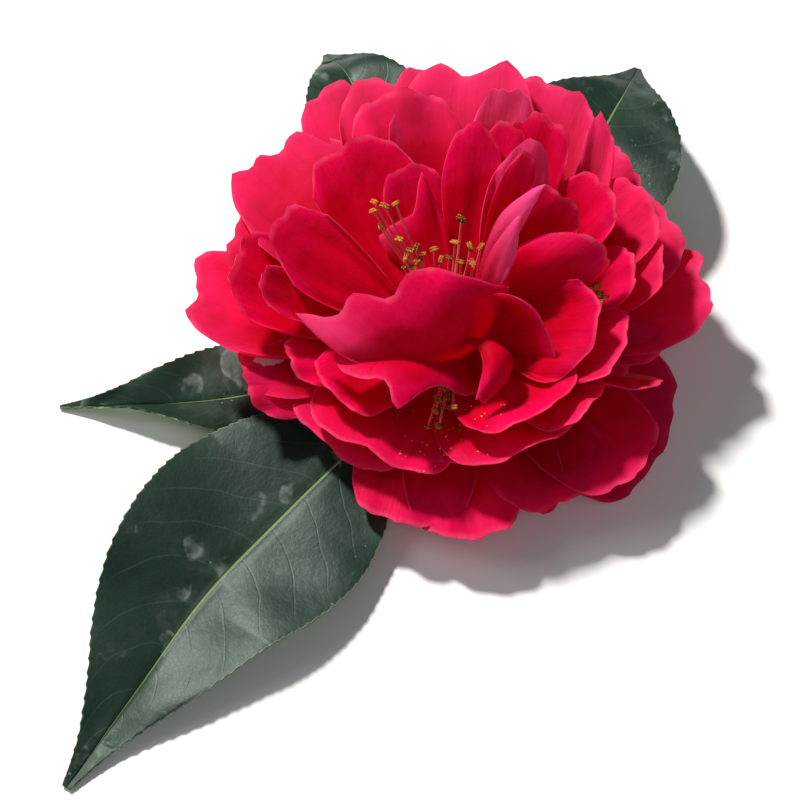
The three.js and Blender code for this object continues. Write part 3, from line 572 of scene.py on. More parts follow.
def petal_sheet(row, more, rows, cols, chance):
    """A petal's middle sheet, from its foot on the receptacle to its tip. A pair is for its two halves.

    Over the grid i runs from foot to tip and t from rim to rim. On the petal they become u and v.
    """
    across, up, height, width, sag, roll, cup, curl, wave, notch, layer = row
    i = 1 - (1 - np.linspace(0, 1, rows + 1)[:, None]) ** 1.25
    t = np.linspace(-1, 1, cols + 1)[None, :]
    v = np.sin(t * math.pi / 2)

    def halved(value):
        return np.where(v < 0, *value) if isinstance(value, tuple) else np.full_like(v, value)

    tip = viewed(across, up, height)
    az = math.radians(more["az"]) if "az" in more else math.atan2(tip[1], tip[0])
    on_hub = (math.cos(az) * FOOT_R[layer], math.sin(az) * FOOT_R[layer], FOOT_Z[layer])
    foot = np.array(more.get("foot", on_hub)) + (0, 0, RECEPTACLE_Z)
    along = tip - foot
    length = np.linalg.norm(along)
    along = along / length
    if "foot" in more:
        rise = np.array([0, -math.cos(VIEW), math.sin(VIEW)])
        rise = unit(rise - along * rise.dot(along))
        level = np.cross(rise, along)
    else:
        level = np.array([-math.sin(az), math.cos(az), 0])
        level = unit(level - along * level.dot(along))
        rise = np.cross(along, level)
    roll = math.radians(roll)
    side = level * math.cos(roll) + rise * math.sin(roll)
    inner = rise * math.cos(roll) - level * math.sin(roll)
    phase = chance.uniform(0, 1, 6)
    if "rim" in more:
        shoulder = halved((more["rim"][0], more["rim"][-1]))
        outline = smooth_line(more["rim"], (v + 1) / 2)
    else:
        shoulder = halved(more.get("shoulder", SHOULDER))
        breadth = halved(more.get("breadth", TIP_BREADTH))
        outline = shoulder + (1 - shoulder) * np.maximum(0, 1 - abs(v) ** breadth) ** (1 / breadth)
        outline = outline - notch * np.exp(-(((v - more.get("notch_at", 0)) / NOTCH_WIDE) ** 2))
    uneven = RIM_UNEVEN[0] * swing(1.7 * t + phase[0])
    uneven = uneven + RIM_UNEVEN[1] * swing(3.9 * t + phase[1])
    uneven = uneven + RIM_UNEVEN[2] * swing(9.1 * t + phase[4])
    u = i * (outline + uneven * i ** 4 * (1 - v ** 6))
    swell = np.sin(np.clip(u / shoulder, 0, 1) * math.pi / 2) ** 1.3
    half = width / 2 * halved(more.get("spread", 1.0)) * (CLAW + (1 - CLAW) * swell)
    angle = np.radians(halved(cup)) * (CUP_OPENS[0] - CUP_OPENS[1] * u)
    away = half / angle * np.sin(angle * v)
    edge = np.maximum(i ** 3, abs(v) ** 3 * i)
    ripple = wave * edge * swing(0.8 * t + 0.25)
    ripple = ripple + 0.4 * wave * edge ** 2 * swing(2.1 * t + phase[2])
    buckle = swing(0.9 * t + 0.7 * u + phase[3]) + 0.5 * swing(1.9 * t - 0.6 * u + phase[5])
    buckle = BUCKLE * min(1, width / BROAD_PETAL) * np.sin(math.pi * np.minimum(u, 1)) * buckle
    reflex = -REFLEX * np.maximum(i ** 12, abs(v) ** 14 * i ** 2)
    inward = half / angle * (1 - np.cos(angle * v)) + ripple + buckle + reflex
    hook = halved(more.get("hook", 0.0)) * np.clip((u - HOOK_FROM) / (1 - HOOK_FROM), 0, 1.2) ** 1.2
    hook = hook * np.minimum(1, 3 * abs(v))
    lift = -sag * 4 * u * (1 - u) + curl * np.clip((u - CURL_FROM) / (1 - CURL_FROM), 0, 1) ** 2 + hook
    bow = more.get("bow", 0.0) * 4 * u * (1 - u)
    sheet = (foot + along * (length * u)[..., None] + inner * (lift + inward)[..., None]
             + side * (bow + away)[..., None])
    sheet[..., 2] = np.maximum(sheet[..., 2], PETAL_THICK / 2)
    return sheet, np.stack(np.broadcast_arrays((t + 1) / 2, i), axis=-1)


def specks_tree():
    """A shader group for scattered specks: dots of a cell pattern, kept where a broad noise is high."""
    tree, _, given, results = opened_tree("ShaderNodeTree", "specks", {
        "Place": "Vector", "Cells": "Float", "Dot": "Float", "Dot Rim": "Float", "Patches": "Float",
        "Patch Detail": "Float", "Low": "Float", "High": "Float", "Strength": "Float",
    }, {"Mask": "Float"})
    dots = ramp(cells(given["Place"], given["Cells"]), given["Dot"], given["Dot Rim"], 1, 0)
    patches = clouds(given["Place"], given["Patches"], given["Patch Detail"])
    patches = ramp(patches, given["Low"], given["High"], 0, given["Strength"])
    tree.links.new(times(dots, patches), results["Mask"])
    return tree


specks = specks_tree()

petal_skin, skin, place = new_finish("petal_red")
tree = petal_skin.node_tree
along, across = grown_map(tree)
one = marked(tree, "petal")
fanned = sums("MULTIPLY_ADD", across, 0.5, sums("ADD", one, 0.5))
fan = add(tree, "ShaderNodeCombineXYZ", in_0=fanned, in_1=along, in_2=one)
veins = clouds(fan.outputs[0], 30, 3, (1, 0.07, 3), 0.6)
fine_veins = clouds(fan.outputs[0], 95, 2, (1, 0.05, 3), 0.5)
flush = clouds(place, 75, 2)
velvet = clouds(place, 5200, 2)
sideways = sums("ABSOLUTE", across)
rim = sums("MAXIMUM", ramp(along, 0.955, 0.995), ramp(sideways, 0.955, 0.995))
rim = times(rim, ramp(along, 0.15, 0.5))
# Painted light: each petal's outer zone is tinted pinker as if lit, over its own paler tip.
outward_lit = ramp(sums("ADD", along, sums("MULTIPLY_ADD", flush, 0.6, -0.3)), 0.68, 1.0)
tone = blended(sums("FRACT", times(one, 7.31)), *PETAL_RED)
tone = blended(ramp(flush, 0.35, 0.7), tone, PETAL_FLUSH)
tone = blended(times(outward_lit, 0.55), tone, PETAL_TIP_LIT)
tone = blended(times(marked(tree, "outside"), 0.25), tone, PETAL_OUTSIDE)
tone = blended(times(ramp(veins, 0.48, 0.68), 0.22), tone, PETAL_VEIN)
# The thin rims are painted paler: partly the thin tissue's own colour, partly a painted highlight on the
# edge.
thin_rim_highlight = times(rim, ramp(clouds(place, 260, 3), 0.3, 0.7, 0.1, 0.6))
tone = blended(thin_rim_highlight, tone, PETAL_RIM_HIGHLIGHT)
# Painted highlight: faces turned to the light are tinted pale pink, over some real paling.
lit_blush = times(marked(tree, "pale"), ramp(along, 0.1, 0.9, 0.4, 1.0))
tone = blended(lit_blush, tone, PETAL_LIT_BLUSH)
# Painted sheen: fine pink glints over the lit outer zone stand in for the satin shine of the tissue.
satin_glints = ramp(clouds(place, 3200, 2), 0.5, 0.75, 0, 0.12)
tone = blended(times(satin_glints, outward_lit), tone, PETAL_SATIN_GLINT)
speck = add(tree, "ShaderNodeGroup", node_tree=specks, in_Place=place, in_Cells=95, in_Dot=0.018,
            in_Dot_Rim=0.034, in_Patches=31, in_Patch_Detail=1, in_Low=0.56, in_High=0.6, in_Strength=0.85)
tone = blended(speck.outputs["Mask"], tone, PETAL_SPECK)
# A torn, dried patch on one lower petal, painted near white: partly dry tissue, partly a painted glint.
torn_glint = times(marked(tree, "worn"), clouds(place, 700, 3))
tone = blended(ramp(torn_glint, 0.24, 0.34), tone, PETAL_BRUISE_GLINT)
swells = raised(clouds(place, 130, 2), 0.0006)
relief = sums("ADD", veins, times(fine_veins, 0.35))
bent = raised(relief, 0.00008, under=swells)
bent = raised(velvet, 0.00003, under=bent)
dressed(skin, tone, ramp(fine_veins, 0.3, 0.7, 0.42, 0.58), bent,
        Sheen_Weight=0.02, Sheen_Roughness=0.35, Sheen_Tint=(1.0, 0.3, 0.75, 1.0),
        Specular_IOR_Level=0.08, Specular_Tint=(1.0, 0.4, 0.8, 1.0))
glow = add(tree, "ShaderNodeBsdfTranslucent", in_Normal=bent, in_Color=blended(0.65, tone, PETAL_GLOW))
mixed = add(tree, "ShaderNodeMixShader", in_0=GLOW_SHARE, in_1=skin.outputs[0], in_2=glow.outputs[0])
tree.links.new(mixed.outputs[0], tree.nodes["Material Output"].inputs["Surface"])

chance = np.random.default_rng(PETAL_SEED)
groups = {"corolla_guard_petals": (0,), "corolla_inner_petals": (1, 2), "corolla_petaloids": (3, 4)}
rows, cols = ((38, 32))
grown = {name: [] for name in groups}
for number, (*row, last) in enumerate(PETALS):
    row, more = (row, last) if isinstance(last, dict) else ([*row, last], {})
    sheet, own = petal_sheet(row, more, rows, cols, chance)
    i, t = own[..., 1], 2 * own[..., 0] - 1
    thin = np.maximum(i ** 8, abs(t) ** 8)
    thick = (PETAL_THICK + (PETAL_RIM - PETAL_THICK) * thin) / 2
    shown = np.vstack([own.reshape(-1, 2)] * 2)
    layer = row[-1]
    name = next(n for n, layers in groups.items() if layer in layers)
    outside = np.repeat([0.0, 1.0] if more.get("turned") else [1.0, 0.0], i.size)
    # Painted light: the outer layers are tinted paler towards the top of the bloom, where they face the
    # light.
    lit_paleness = LAYER_PALE_LIT[layer] * (1 + row[1] / PALE_LIT_UP)
    strength, at, wide, start = more.get("pale", (lit_paleness, 0, 3, PALE_LIT_FROM))
    pale = strength * np.exp(-(((t - at) / wide) ** 2)) * np.clip((i - start) / (1 - start), 0, 1)
    at, start = more.get("worn", (9, 9))
    worn = np.exp(-(((t - at) / WORN_GLINT_WIDE) ** 2) - ((i - start) / WORN_GLINT_LONG) ** 2)
    marks = [np.full(2 * i.size, number * 0.37), outside]
    marks += [np.tile(mark.ravel(), 2) for mark in (pale, worn)]
    grown[name].append((closed_blade(sheet, thick, thick), shown, marks))
hub = turned_body(HUB_PROFILE, 48, 24)
count = len(hub[0])
grown["corolla_petaloids"].append((hub, np.tile([0.5, 0.1], (count, 1)), [np.zeros(count)] * 4))
for name, parts in grown.items():
    points, faces = gathered([part[0] for part in parts])
    maps = np.vstack([part[1] for part in parts])
    marks = {mark: np.concatenate([part[2][k] for part in parts])
             for k, mark in enumerate(("petal", "outside", "pale", "worn"))}
    grown_piece(name, points, faces, petal_skin, "petal_red", "corolla", 60, maps, marks)

# Stamens: three tufts of thin pink filaments, each with a golden two-lobed anther across its end. In a
# tuft they stand together in one short column; the two low tufts leave between the inner petals' feet.
# Some grains of pollen have fallen from the front tuft on the petals under it.
CENTER_ANTHERS = (
    (-14.2, 20.8, 21.5), (-14.3, 19.2, 20.4), (-12.2, 20, 21.6), (-10.2, 20.4, 22.2),
    (-13, 16.2, 19.2), (-9.6, 14, 18), (-7.5, 11.9, 17.4), (-6.4, 12.4, 17.6), (-5.3, 11.2, 17.2),
    (-3.2, 12.1, 17.2), (-8.3, 10.6, 16.6), (-6.2, 10, 16.2), (-8.7, 8.7, 15.8), (-7.2, 8.9, 15.2),
    (-5.5, 7.7, 15.2), (-1.9, 10.2, 16.4), (1.8, 17.6, 20.2), (0.6, 13.4, 18), (-0.4, 10.6, 16.4),
    (1.6, 9.8, 16), (3.4, 12.6, 17.4), (5.3, 12.5, 17.4), (3.8, 9.6, 16),
)
FRONT_ANTHERS = (
    (-2.5, -15.3, 4.8), (-0.8, -14.7, 5), (-3, -17.4, 4), (-1.3, -16.8, 4.2), (0.2, -16.8, 4.3),
    (-4.4, -20.4, 3.4), (-2.3, -20.2, 3.4), (0.8, -13, 4.4), (-1.6, -13.2, 4.6),
)
SIDE_ANTHERS = (
    (26.8, 5.5, 11.4), (25.6, 4.6, 11.2), (27.4, 4.2, 10.6), (24.6, 3.8, 10.8), (27.6, 2.8, 10),
    (26, 2.6, 10), (28.4, 3.6, 10.2),
)
FRONT_ROOT = ((0.2, -7.4, 0.2), (-1, -20, 2.4))
SIDE_ROOT = ((7.4, -0.8, 0.6), (22, -1.8, 7.4))
COLUMN_R = 2.1
SIDE_COLUMN_R = 1.3
COLUMN_LENGTH = 5.2
ROOT_ALONG = 3.6
ROOT_SPREAD = 0.7
ROOT_TURN = 2.4
FILAMENT_R = 0.26
ANTHER_LENGTH = 0.95
ANTHER_LOBE = 0.32
ANTHER_TILT = ((0.9, -0.5, 0.0), (1.7, 0.5, 6.28))
ANTHER_SIZES = (0.85, 1.15)
FILAMENT_PINK = ((0.8, 0.06, 0.1), (0.88, 0.2, 0.2))
ANTHER_BROWN = ((0.1, 0.02, 0.006), (0.4, 0.11, 0.015))
ANTHER_GOLD = (0.86, 0.4, 0.07)
POLLEN_GOLD = ((0.5, 0.16, 0.03), (0.9, 0.5, 0.16))
GRAIN_R = 0.13
GRAIN_SIZES = (0.6, 1.5)
POLLEN_DROP = 6.0
POLLEN_REACH = 14.0
POLLEN_PER_MM2 = 0.35

filament_skin, skin, place = new_finish("stamen_filament")
tone = mottled(place, 160, 2, 0.35, 0.65, FILAMENT_PINK)["Colour"]
dressed(skin, tone, ramp(clouds(place, 2400, 2), 0.3, 0.7, 0.38, 0.55), Sheen_Weight=0.1)

anther_skin, skin, place = new_finish("stamen_anther")
grains = clouds(place, 4200, 2)
tone = mottled(place, 420, 2, 0.38, 0.62, ANTHER_BROWN)["Colour"]
tone = blended(ramp(grains, 0.53, 0.7), tone, ANTHER_GOLD)
dressed(skin, tone, ramp(grains, 0.3, 0.7, 0.55, 0.85), raised(grains, 0.0001),
        Specular_IOR_Level=0.15, Specular_Tint=(1.0, 0.8, 0.5, 1.0))

pollen_skin, skin, place = new_finish("stamen_pollen")
clumps = mottled(place, 3100, 2, 0.4, 0.6, POLLEN_GOLD)
dressed(skin, clumps["Colour"], ramp(clumps["Noise"], 0.3, 0.7, 0.6, 0.9))


def tuft_tree():
    """Sweeps a filament along each line and puts a two-lobed anther across its end."""
    tree, inputs, given, results = opened_tree("GeometryNodeTree", "stamen_tuft", {
        "Lines": "Geometry", "Filament Radius": "Float", "Anther Length": "Float",
        "Anther Lobe": "Float", "Seed": "Int", "Filament Skin": "Material", "Anther Skin": "Material",
    }, {"Tuft": "Geometry"})
    around = add(tree, "GeometryNodeCurvePrimitiveCircle", in_Resolution=8,
                 in_Radius=given["Filament Radius"])
    taper = add(tree, "GeometryNodeInputRadius")
    swept = add(tree, "GeometryNodeCurveToMesh", in_0=given["Lines"], in_1=around.outputs[0],
                in_Scale=taper.outputs[0], in_3=True)
    stalks = add(tree, "GeometryNodeSetMaterial", in_Geometry=swept.outputs[0],
                 in_Material=given["Filament Skin"])
    lobe = add(tree, "GeometryNodeMeshUVSphere", in_Segments=10, in_Rings=7, in_Radius=1.0)
    size = add(tree, "ShaderNodeCombineXYZ", in_0=given["Anther Lobe"],
               in_1=times(given["Anther Lobe"], 0.8), in_2=given["Anther Length"])
    anther = add(tree, "GeometryNodeJoinGeometry")
    for hand in (-0.72, 0.72):
        shift = add(tree, "ShaderNodeCombineXYZ", in_0=times(given["Anther Lobe"], hand))
        moved = add(tree, "GeometryNodeTransform", in_Geometry=lobe.outputs[0],
                    in_Translation=shift.outputs[0], in_Scale=size.outputs[0])
        tree.links.new(moved.outputs[0], anther.inputs[0])
    ends = add(tree, "GeometryNodeCurveEndpointSelection")
    ends.inputs[0].default_value = 0
    ends.inputs[1].default_value = 1
    turn = add(tree, "FunctionNodeRandomValue", data_type="FLOAT_VECTOR", in_Seed=given["Seed"])
    turn.inputs[0].default_value, turn.inputs[1].default_value = ANTHER_TILT
    grow = add(tree, "FunctionNodeRandomValue", data_type="FLOAT", in_Seed=given["Seed"])
    grow.inputs[2].default_value, grow.inputs[3].default_value = ANTHER_SIZES
    placed = add(tree, "GeometryNodeInstanceOnPoints", in_Points=given["Lines"],
                 in_Selection=ends.outputs[0], in_Instance=anther.outputs[0])
    tree.links.new(turn.outputs[0], placed.inputs["Rotation"])
    tree.links.new(grow.outputs[1], placed.inputs["Scale"])
    real = add(tree, "GeometryNodeRealizeInstances", in_Geometry=placed.outputs[0])
    dusted = add(tree, "GeometryNodeSetMaterial", in_Geometry=real.outputs[0],
                 in_Material=given["Anther Skin"])
    both = add(tree, "GeometryNodeJoinGeometry")
    tree.links.new(stalks.outputs[0], both.inputs[0])
    tree.links.new(dusted.outputs[0], both.inputs[0])
    smooth = add(tree, "GeometryNodeSetShadeSmooth", in_Geometry=both.outputs[0])
    tree.links.new(smooth.outputs[0], results["Tuft"])
    return tree, inputs


def pollen_tree():
    """Scatters grains over the upper faces of the petals near a place, thinner further from it."""
    tree, inputs, given, results = opened_tree("GeometryNodeTree", "fallen_pollen", {
        "Petals": "Geometry", "Place": "Vector", "Reach": "Float", "Density": "Float",
        "Grain Radius": "Float", "Seed": "Int", "Grain Skin": "Material",
    }, {"Pollen": "Geometry"})
    away = add(tree, "ShaderNodeVectorMath", operation="DISTANCE", in_1=given["Place"],
               in_0=add(tree, "GeometryNodeInputPosition").outputs[0]).outputs["Value"]
    near = sums("SUBTRACT", 1, sums("DIVIDE", away, given["Reach"]), clamp=True)
    facing = add(tree, "ShaderNodeSeparateXYZ", in_0=add(tree, "GeometryNodeInputNormal").outputs[0])
    spread = add(tree, "GeometryNodeDistributePointsOnFaces", in_Mesh=given["Petals"],
                 in_Selection=sums("GREATER_THAN", facing.outputs["Z"], 0.3),
                 in_Density=times(near, given["Density"]), in_Seed=given["Seed"])
    grain = add(tree, "GeometryNodeMeshIcoSphere", in_Radius=given["Grain Radius"], in_Subdivisions=2)
    size = add(tree, "FunctionNodeRandomValue", data_type="FLOAT", in_Seed=given["Seed"])
    size.inputs[2].default_value, size.inputs[3].default_value = GRAIN_SIZES
    placed = add(tree, "GeometryNodeInstanceOnPoints", in_Points=spread.outputs["Points"],
                 in_Instance=grain.outputs[0], in_Scale=size.outputs[1])
    real = add(tree, "GeometryNodeRealizeInstances", in_Geometry=placed.outputs[0])
    dusted = add(tree, "GeometryNodeSetMaterial", in_Geometry=real.outputs[0],
                 in_Material=given["Grain Skin"])
    tree.links.new(dusted.outputs[0], results["Pollen"])
    return tree, inputs


def made_real(obj, name):
    """The evaluated object as a plain mesh object, with its modifier gone."""
    graph = bpy.context.evaluated_depsgraph_get()
    mesh = bpy.data.meshes.new_from_object(obj.evaluated_get(graph), depsgraph=graph)
    mesh.name = name
    bpy.data.objects.remove(obj)
    return in_scene(name, mesh)


tuft, sockets = tuft_tree()


def stamen_piece(name, anthers, rootings, column, bow, replaced, seed):
    """One tuft: its lines become filaments and anthers, and its root column joins them."""
    lines = bpy.data.curves.new(name + "_lines", "CURVE")
    lines.dimensions = "3D"
    for (across, up, height), start in zip(anthers, rootings):
        end = viewed(across, up, height)
        chord = end - start
        lift = unit(np.cross(unit(np.cross(chord, (0, 0, 1))), chord))
        u = np.linspace(0, 1, 12)[:, None]
        path = start + chord * u + lift * (bow * 4 * u * (1 - u))
        spline = lines.splines.new("POLY")
        spline.points.add(len(path) - 1)
        spots = np.hstack([path * MM + BLOOM_FOOT, np.ones((len(path), 1))])
        spline.points.foreach_set("co", spots.ravel())
        spline.points.foreach_set("radius", (1.15 - 0.4 * u).ravel())
    holder = in_scene(name + "_holder", lines)
    grow = holder.modifiers.new("tuft", "NODES")
    grow.node_group = tuft
    grow[sockets["Filament Radius"]] = FILAMENT_R * MM
    grow[sockets["Anther Length"]] = ANTHER_LENGTH * MM
    grow[sockets["Anther Lobe"]] = ANTHER_LOBE * MM
    grow[sockets["Seed"]] = seed
    grow[sockets["Filament Skin"]] = filament_skin
    grow[sockets["Anther Skin"]] = anther_skin
    piece = made_real(holder, name)
    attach(piece, "root")
    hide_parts(replaced)
    grown_piece(name + "_column", *column, filament_skin, "stamen_gold", replaced)


foot = np.array([0, 0, RECEPTACLE_Z])
heights = np.linspace(-2.4, 4.5, 12)
column = round_bar(foot + heights[:, None] * np.array([0, 0, 1.0]),
                   COLUMN_R * np.where(heights > 3.6, 0.8, 1.0), 24)
roots = []
for anther in CENTER_ANTHERS:
    end = viewed(*anther)
    out = min(1.0, max(0.2, math.hypot(end[0], end[1]) / 10)) * 1.5
    az = math.atan2(end[1], end[0])
    roots.append(foot + np.array([out * math.cos(az), out * math.sin(az), 3.0]))
stamen_piece("stamens_heart", CENTER_ANTHERS, roots, column, -1.2, "stamens_center", 4)
for name, anthers, (at, aim), bow, replaced, seed in (
        ("stamens_low_front", FRONT_ANTHERS, FRONT_ROOT, -0.4, "stamens_front", 7),
        ("stamens_low_side", SIDE_ANTHERS, SIDE_ROOT, -1.3, "stamens_side", 9)):
    start = foot + np.array(at)
    way = unit(foot + np.array(aim) - start)
    side = unit(np.cross(way, (0, 0, 1)))
    run = np.linspace(0, COLUMN_LENGTH, 10)
    column = round_bar(start + way * run[:, None], SIDE_COLUMN_R * np.where(run > 4.6, 0.75, 1), 16)
    turns = ROOT_TURN * np.arange(len(anthers))[:, None]
    roots = start + way * ROOT_ALONG + ROOT_SPREAD * (side * np.cos(turns) + np.sin(turns) * (0, 0, 1))
    stamen_piece(name, anthers, roots, column, bow, replaced, seed)

dust, sockets = pollen_tree()
holder = in_scene("pollen_holder", bpy.data.meshes["corolla_inner_petals"])
fall = holder.modifiers.new("pollen", "NODES")
fall.node_group = dust
place = np.mean([viewed(*anther) for anther in FRONT_ANTHERS], axis=0) - (0, 0, POLLEN_DROP)
fall[sockets["Place"]] = (place * MM + BLOOM_FOOT).tolist()
fall[sockets["Reach"]] = POLLEN_REACH * MM
fall[sockets["Density"]] = POLLEN_PER_MM2 / MM ** 2
fall[sockets["Grain Radius"]] = GRAIN_R * MM
fall[sockets["Seed"]] = 3
fall[sockets["Grain Skin"]] = pollen_skin
piece = made_real(holder, "stamens_fallen_pollen")
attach(piece, "root")
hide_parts("stamens_front")

# Leaves: four thick evergreen blades with a keel under the midrib, a groove above it, side veins that
# arch to the rim, and fine forward teeth. Glossy dark green above, dusted and water-spotted, dull and
# paler below, with a thin yellow-green rim.
HALF_WIDTH = (0, 0.38, 0.72, 0.91, 1, 0.99, 0.91, 0.77, 0.58, 0.36, 0.17, 0.04)
LEAF_THICK = 0.5
LEAF_RIB = 0.7
PETIOLE_R = 1.1
STALK_HALF = 0.35
TOOTH = 0.4
GROOVE = 0.22
QUILT = 0.35
LEAF_LIFT = 0.02
SIDE_VEINS = 11
LEAF_GREEN = ((0.005, 0.018, 0.011), (0.011, 0.03, 0.018))
LEAF_NET = (0.05, 0.1, 0.07)
LEAF_VEIN = (0.07, 0.13, 0.09)
LEAF_DUST = (0.36, 0.42, 0.38)
LEAF_UNDERSIDE = (0.16, 0.25, 0.08)
LEAF_MIDRIB = (0.16, 0.25, 0.1)
LEAF_MARGIN = (0.16, 0.2, 0.12)
# A leaf's midrib, and for its left and right halves the width and the fold at its foot and its tip.
LEAVES = {
    "leaf_lower_left": {
        "rib": ((-2.6, -5.7, 3), (-19, -22, 4.2), (-32.5, -36.5, 3.2), (-45.5, -51.5, 2),
                (-57, -69.5, 1.1), (-68, -87, 0.4)),
        "half": (20.5, 23.5), "fold": ((2, 15), (2, 14)), "stalk": 0.07, "teeth": 46,
    },
    "leaf_left": {
        "rib": ((-2.6, 1.7, 2.4), (-20, -1.5, 2.1), (-38, -8, 2.2), (-56, -10.5, 2.4), (-75, -10, 0.4)),
        "half": (8.5, 12.5), "fold": ((-2, 56), (4, 30)), "fold_from": 0.52, "stalk": 0.1, "teeth": 30,
    },
    "leaf_upper_left": {
        "rib": ((1, 13.4, 3), (-6, 27, 7), (-13, 43, 11.5), (-20, 61, 12.5), (-25, 72, 5.5)),
        "half": (15, 16), "fold": ((4, 8), (4, 8)), "stalk": 0.1, "teeth": 28,
    },
    "leaf_upper_right": {
        "rib": ((10.5, 22.4, 3), (18.5, 31, 7.5), (28, 42, 11.5), (35, 55, 11.5), (40, 68, 6)),
        "half": (20, 20), "fold": ((4, 8), (4, 8)), "stalk": 0.1, "teeth": 28,
    },
}

leaf_skin, skin, place = new_finish("leaf_green")
tree = leaf_skin.node_tree
along, hand = grown_map(tree)
out = sums("ABSOLUTE", hand)
above = marked(tree, "upper_side")
wobble = sums("MULTIPLY_ADD", clouds(place, 70, 2), 0.05, -0.025)
arch = sums("MULTIPLY_ADD", sums("POWER", out, 1.5), -0.16, sums("ADD", along, wobble))
stagger = times(sums("GREATER_THAN", hand, 0), 0.5)
turnings = sums("FRACT", sums("MULTIPLY_ADD", arch, SIDE_VEINS, stagger))
vein = sums("ABSOLUTE", sums("SUBTRACT", turnings, 0.5))
vein = times(ramp(vein, 0.0, 0.04, 1, 0), ramp(out, 0.72, 0.95, 1, 0))
net = ramp(cells(place, 1100, "DISTANCE_TO_EDGE"), 0.0, 0.09, 1, 0)
midrib = ramp(out, 0.008, 0.022, 1, 0)
margin = times(ramp(out, 0.985, 0.998), ramp(along, 0.1, 0.16))
tone = mottled(place, 55, 4, 0.35, 0.7, LEAF_GREEN)["Colour"]
tone = blended(times(net, 0.06), tone, LEAF_NET)
tone = blended(times(vein, 0.16), tone, LEAF_VEIN)
dust = clouds(place, 38, 5, rough=0.7)
slanted = add(tree, "ShaderNodeMapping", in_Vector=place, in_Rotation=(0, 0, 0.8), in_Scale=(1, 0.55, 1))
spots = cells(slanted.outputs[0], 190, "SMOOTH_F1")
ring = times(ramp(spots, 0.3, 0.36, 1, 0), ramp(spots, 0.2, 0.33, 0.35, 1))
film = times(ramp(dust, 0.45, 0.75), 0.14)
speck = add(tree, "ShaderNodeGroup", node_tree=specks, in_Place=place, in_Cells=420, in_Dot=0.06,
            in_Dot_Rim=0.12, in_Patches=90, in_Patch_Detail=2, in_Low=0.52, in_High=0.6, in_Strength=0.4)
film = sums("ADD", film, speck.outputs["Mask"])
film = sums("ADD", film, times(ring, ramp(dust, 0.48, 0.56, 0, 0.3)))
underneath = sums("SUBTRACT", 1, above)
tone = blended(times(film, above), tone, LEAF_DUST)
tone = blended(underneath, tone, LEAF_UNDERSIDE)
tone = blended(times(midrib, 0.85), tone, LEAF_MIDRIB)
tone = blended(times(margin, 0.7), tone, LEAF_MARGIN)
gloss = sums("MULTIPLY_ADD", film, 0.5, 0.42)
gloss = sums("MULTIPLY_ADD", underneath, 0.3, gloss, clamp=True)
relief = sums("MULTIPLY_ADD", vein, -0.05, times(net, -0.018))
relief = sums("MULTIPLY_ADD", midrib, -0.5, relief)
relief = sums("MULTIPLY_ADD", clouds(place, 210, 3), 0.45, relief)
dressed(skin, tone, gloss, raised(relief, 0.0004, 0.8),
        Specular_IOR_Level=0.22, Specular_Tint=(0.86, 1.0, 0.9, 1.0))

rows, cols = ((230, 36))
for name, shape in LEAVES.items():
    u = np.linspace(0, 1, rows + 1)
    spine = smooth_line(shape["rib"], u)
    way = unit(smooth_line(shape["rib"], np.minimum(1, u + 0.01))
               - smooth_line(shape["rib"], np.maximum(0, u - 0.01)))
    side = unit(np.cross((0, 0, 1), way))
    up = np.cross(way, side)
    b = np.clip((u - shape["stalk"]) / (1 - shape["stalk"]), 0, 1)
    share = smooth_line(HALF_WIDTH, b)
    turn = np.clip((b - shape.get("fold_from", 0.3)) / 0.28, 0, 1)
    v = np.linspace(-1, 1, cols + 1)
    v = np.sign(v) * (1 - (1 - abs(v)) ** 1.2)
    tooth = TOOTH * (1 - (b * shape["teeth"] % 1) ** 1.4) * (b > 0.08) * (b < 0.985)
    stalk_half = PETIOLE_R - (PETIOLE_R - STALK_HALF) * np.clip(b * 12, 0, 1)
    sheet = np.empty((rows + 1, cols + 1, 3))
    for j, place_across in enumerate(v):
        hand = 0 if place_across > 0 else 1
        cut = tooth * np.clip((abs(place_across) - 0.93) / 0.07, 0, 1)
        wide = np.maximum(shape["half"][hand] * share - cut, stalk_half)
        start, end = shape["fold"][hand]
        angle = np.radians(start + (end - start) * turn)
        swell = QUILT * np.sin(math.pi * abs(place_across)) * np.sin(26 * b + hand)
        swell = swell * np.clip(b * 6, 0, 1)
        over = abs(place_across) * wide * np.sin(angle) + swell * (share > 0.2)
        sheet[:, j] = spine + side * (place_across * wide * np.cos(angle))[:, None] + up * over[:, None]
    stem = np.clip(1 - (u - shape["stalk"]) / 0.06, 0, 1)[:, None]
    keel = LEAF_RIB * (1 - u)[:, None] * np.exp(-((v * 14) ** 2))[None, :]
    groove = GROOVE * np.exp(-((v * 22) ** 2))[None, :] * (1 - stem)
    plate = LEAF_THICK / 2 * (1 - 0.5 * abs(v) ** 10)[None, :]
    below = plate + keel
    below = below + (PETIOLE_R - below) * stem
    top = plate - groove
    top = top + (PETIOLE_R - top) * stem
    points, faces = closed_blade(sheet, below, top)
    points[:, 2] = np.maximum(points[:, 2], LEAF_LIFT)
    own = np.stack(np.broadcast_arrays((v[None, :] + 1) / 2, b[:, None]), axis=-1).reshape(-1, 2)
    upper = np.repeat([0.0, 1.0], len(own))
    grown_piece(name + "_blade", points, faces, leaf_skin, "leaf_green", name, 50,
                np.vstack([own, own]), {"upper_side": upper})

# Studio: a plain pale floor, a soft key light from the upper left behind the bloom, a wide light from
# the left and another in front, and a camera that looks down on the spray from 60 degrees.
PHOTO_PX = 800
PX_PER_MM = 5.3
BLOOM_PX = (450, 318)
LENS = 100.0
SENSOR = 36.0
FLOOR_REACH = 3.0
FLOOR_WHITE = ((0.86, 0.86, 0.86), (0.9, 0.9, 0.9))
AIR = (0.9, 0.95, 1.0, 1.0)
AIR_STRENGTH = 0.13

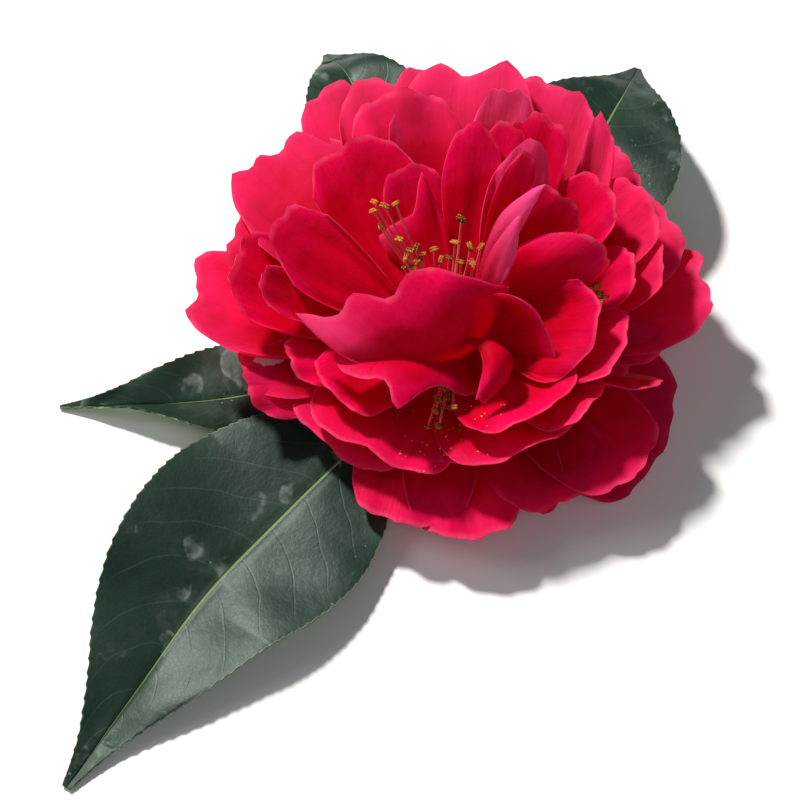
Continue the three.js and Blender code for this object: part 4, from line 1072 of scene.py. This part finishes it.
floor_skin, skin, place = new_finish("studio_floor")
tone = mottled(place, 14, 2, 0.3, 0.7, FLOOR_WHITE)["Colour"]
dressed(skin, tone, None, Roughness=0.9)
ground = bpy.data.meshes.new("studio_floor")
corners = [(x * FLOOR_REACH, y * FLOOR_REACH, 0) for x, y in ((-1, -1), (1, -1), (1, 1), (-1, 1))]
ground.from_pydata(corners, [], [(0, 1, 2, 3)])
ground.materials.append(floor_skin)
floor = in_scene("studio_floor", ground)


def soft_light(name, azimuth, elevation, distance, size, power, colour):
    """A round soft light that looks at the bloom."""
    lamp = bpy.data.lights.new(name, "AREA")
    lamp.shape = "DISK"
    lamp.size = size
    lamp.energy = power
    lamp.color = colour
    holder = in_scene(name, lamp)
    az, el = math.radians(azimuth), math.radians(elevation)
    way = np.array([math.cos(az) * math.cos(el), math.sin(az) * math.cos(el), math.sin(el)])
    holder.location = (BLOOM_FOOT + np.array([0, 0, 0.02]) + way * distance).tolist()
    holder.rotation_euler = (math.pi / 2 - el, 0, az + math.pi / 2)


soft_light("key_light", 130, 46, 0.9, 0.1, 13, (1.0, 0.97, 0.94))
soft_light("sky_light", 172, 38, 1.1, 0.5, 2.0, (1.0, 0.97, 0.95))
soft_light("fill_light", -75, 50, 1.1, 0.9, 1.4, (0.93, 0.96, 1.0))
world = bpy.data.worlds.new("studio_air")
world.use_nodes = True
air = world.node_tree.nodes["Background"]
air.inputs[0].default_value = AIR
air.inputs[1].default_value = AIR_STRENGTH
bpy.context.scene.world = world
bpy.context.scene.view_settings.view_transform = "Standard"

lens = bpy.data.cameras.new("camera")
lens.lens = LENS
lens.sensor_width = SENSOR
camera = in_scene("camera", lens)
distance = PHOTO_PX / PX_PER_MM * LENS / SENSOR
back = np.array([0, -math.cos(VIEW), math.sin(VIEW)])
upward = np.array([0, math.sin(VIEW), math.cos(VIEW)])
middle = (np.array(BLOOM_PX) - PHOTO_PX / 2) / PX_PER_MM
aim = foot - np.array([1.0, 0, 0]) * middle[0] + upward * middle[1]
camera.location = ((aim + back * distance) * MM + BLOOM_FOOT).tolist()
camera.rotation_euler = (math.pi / 2 - VIEW, 0, 0)
bpy.context.scene.camera = camera
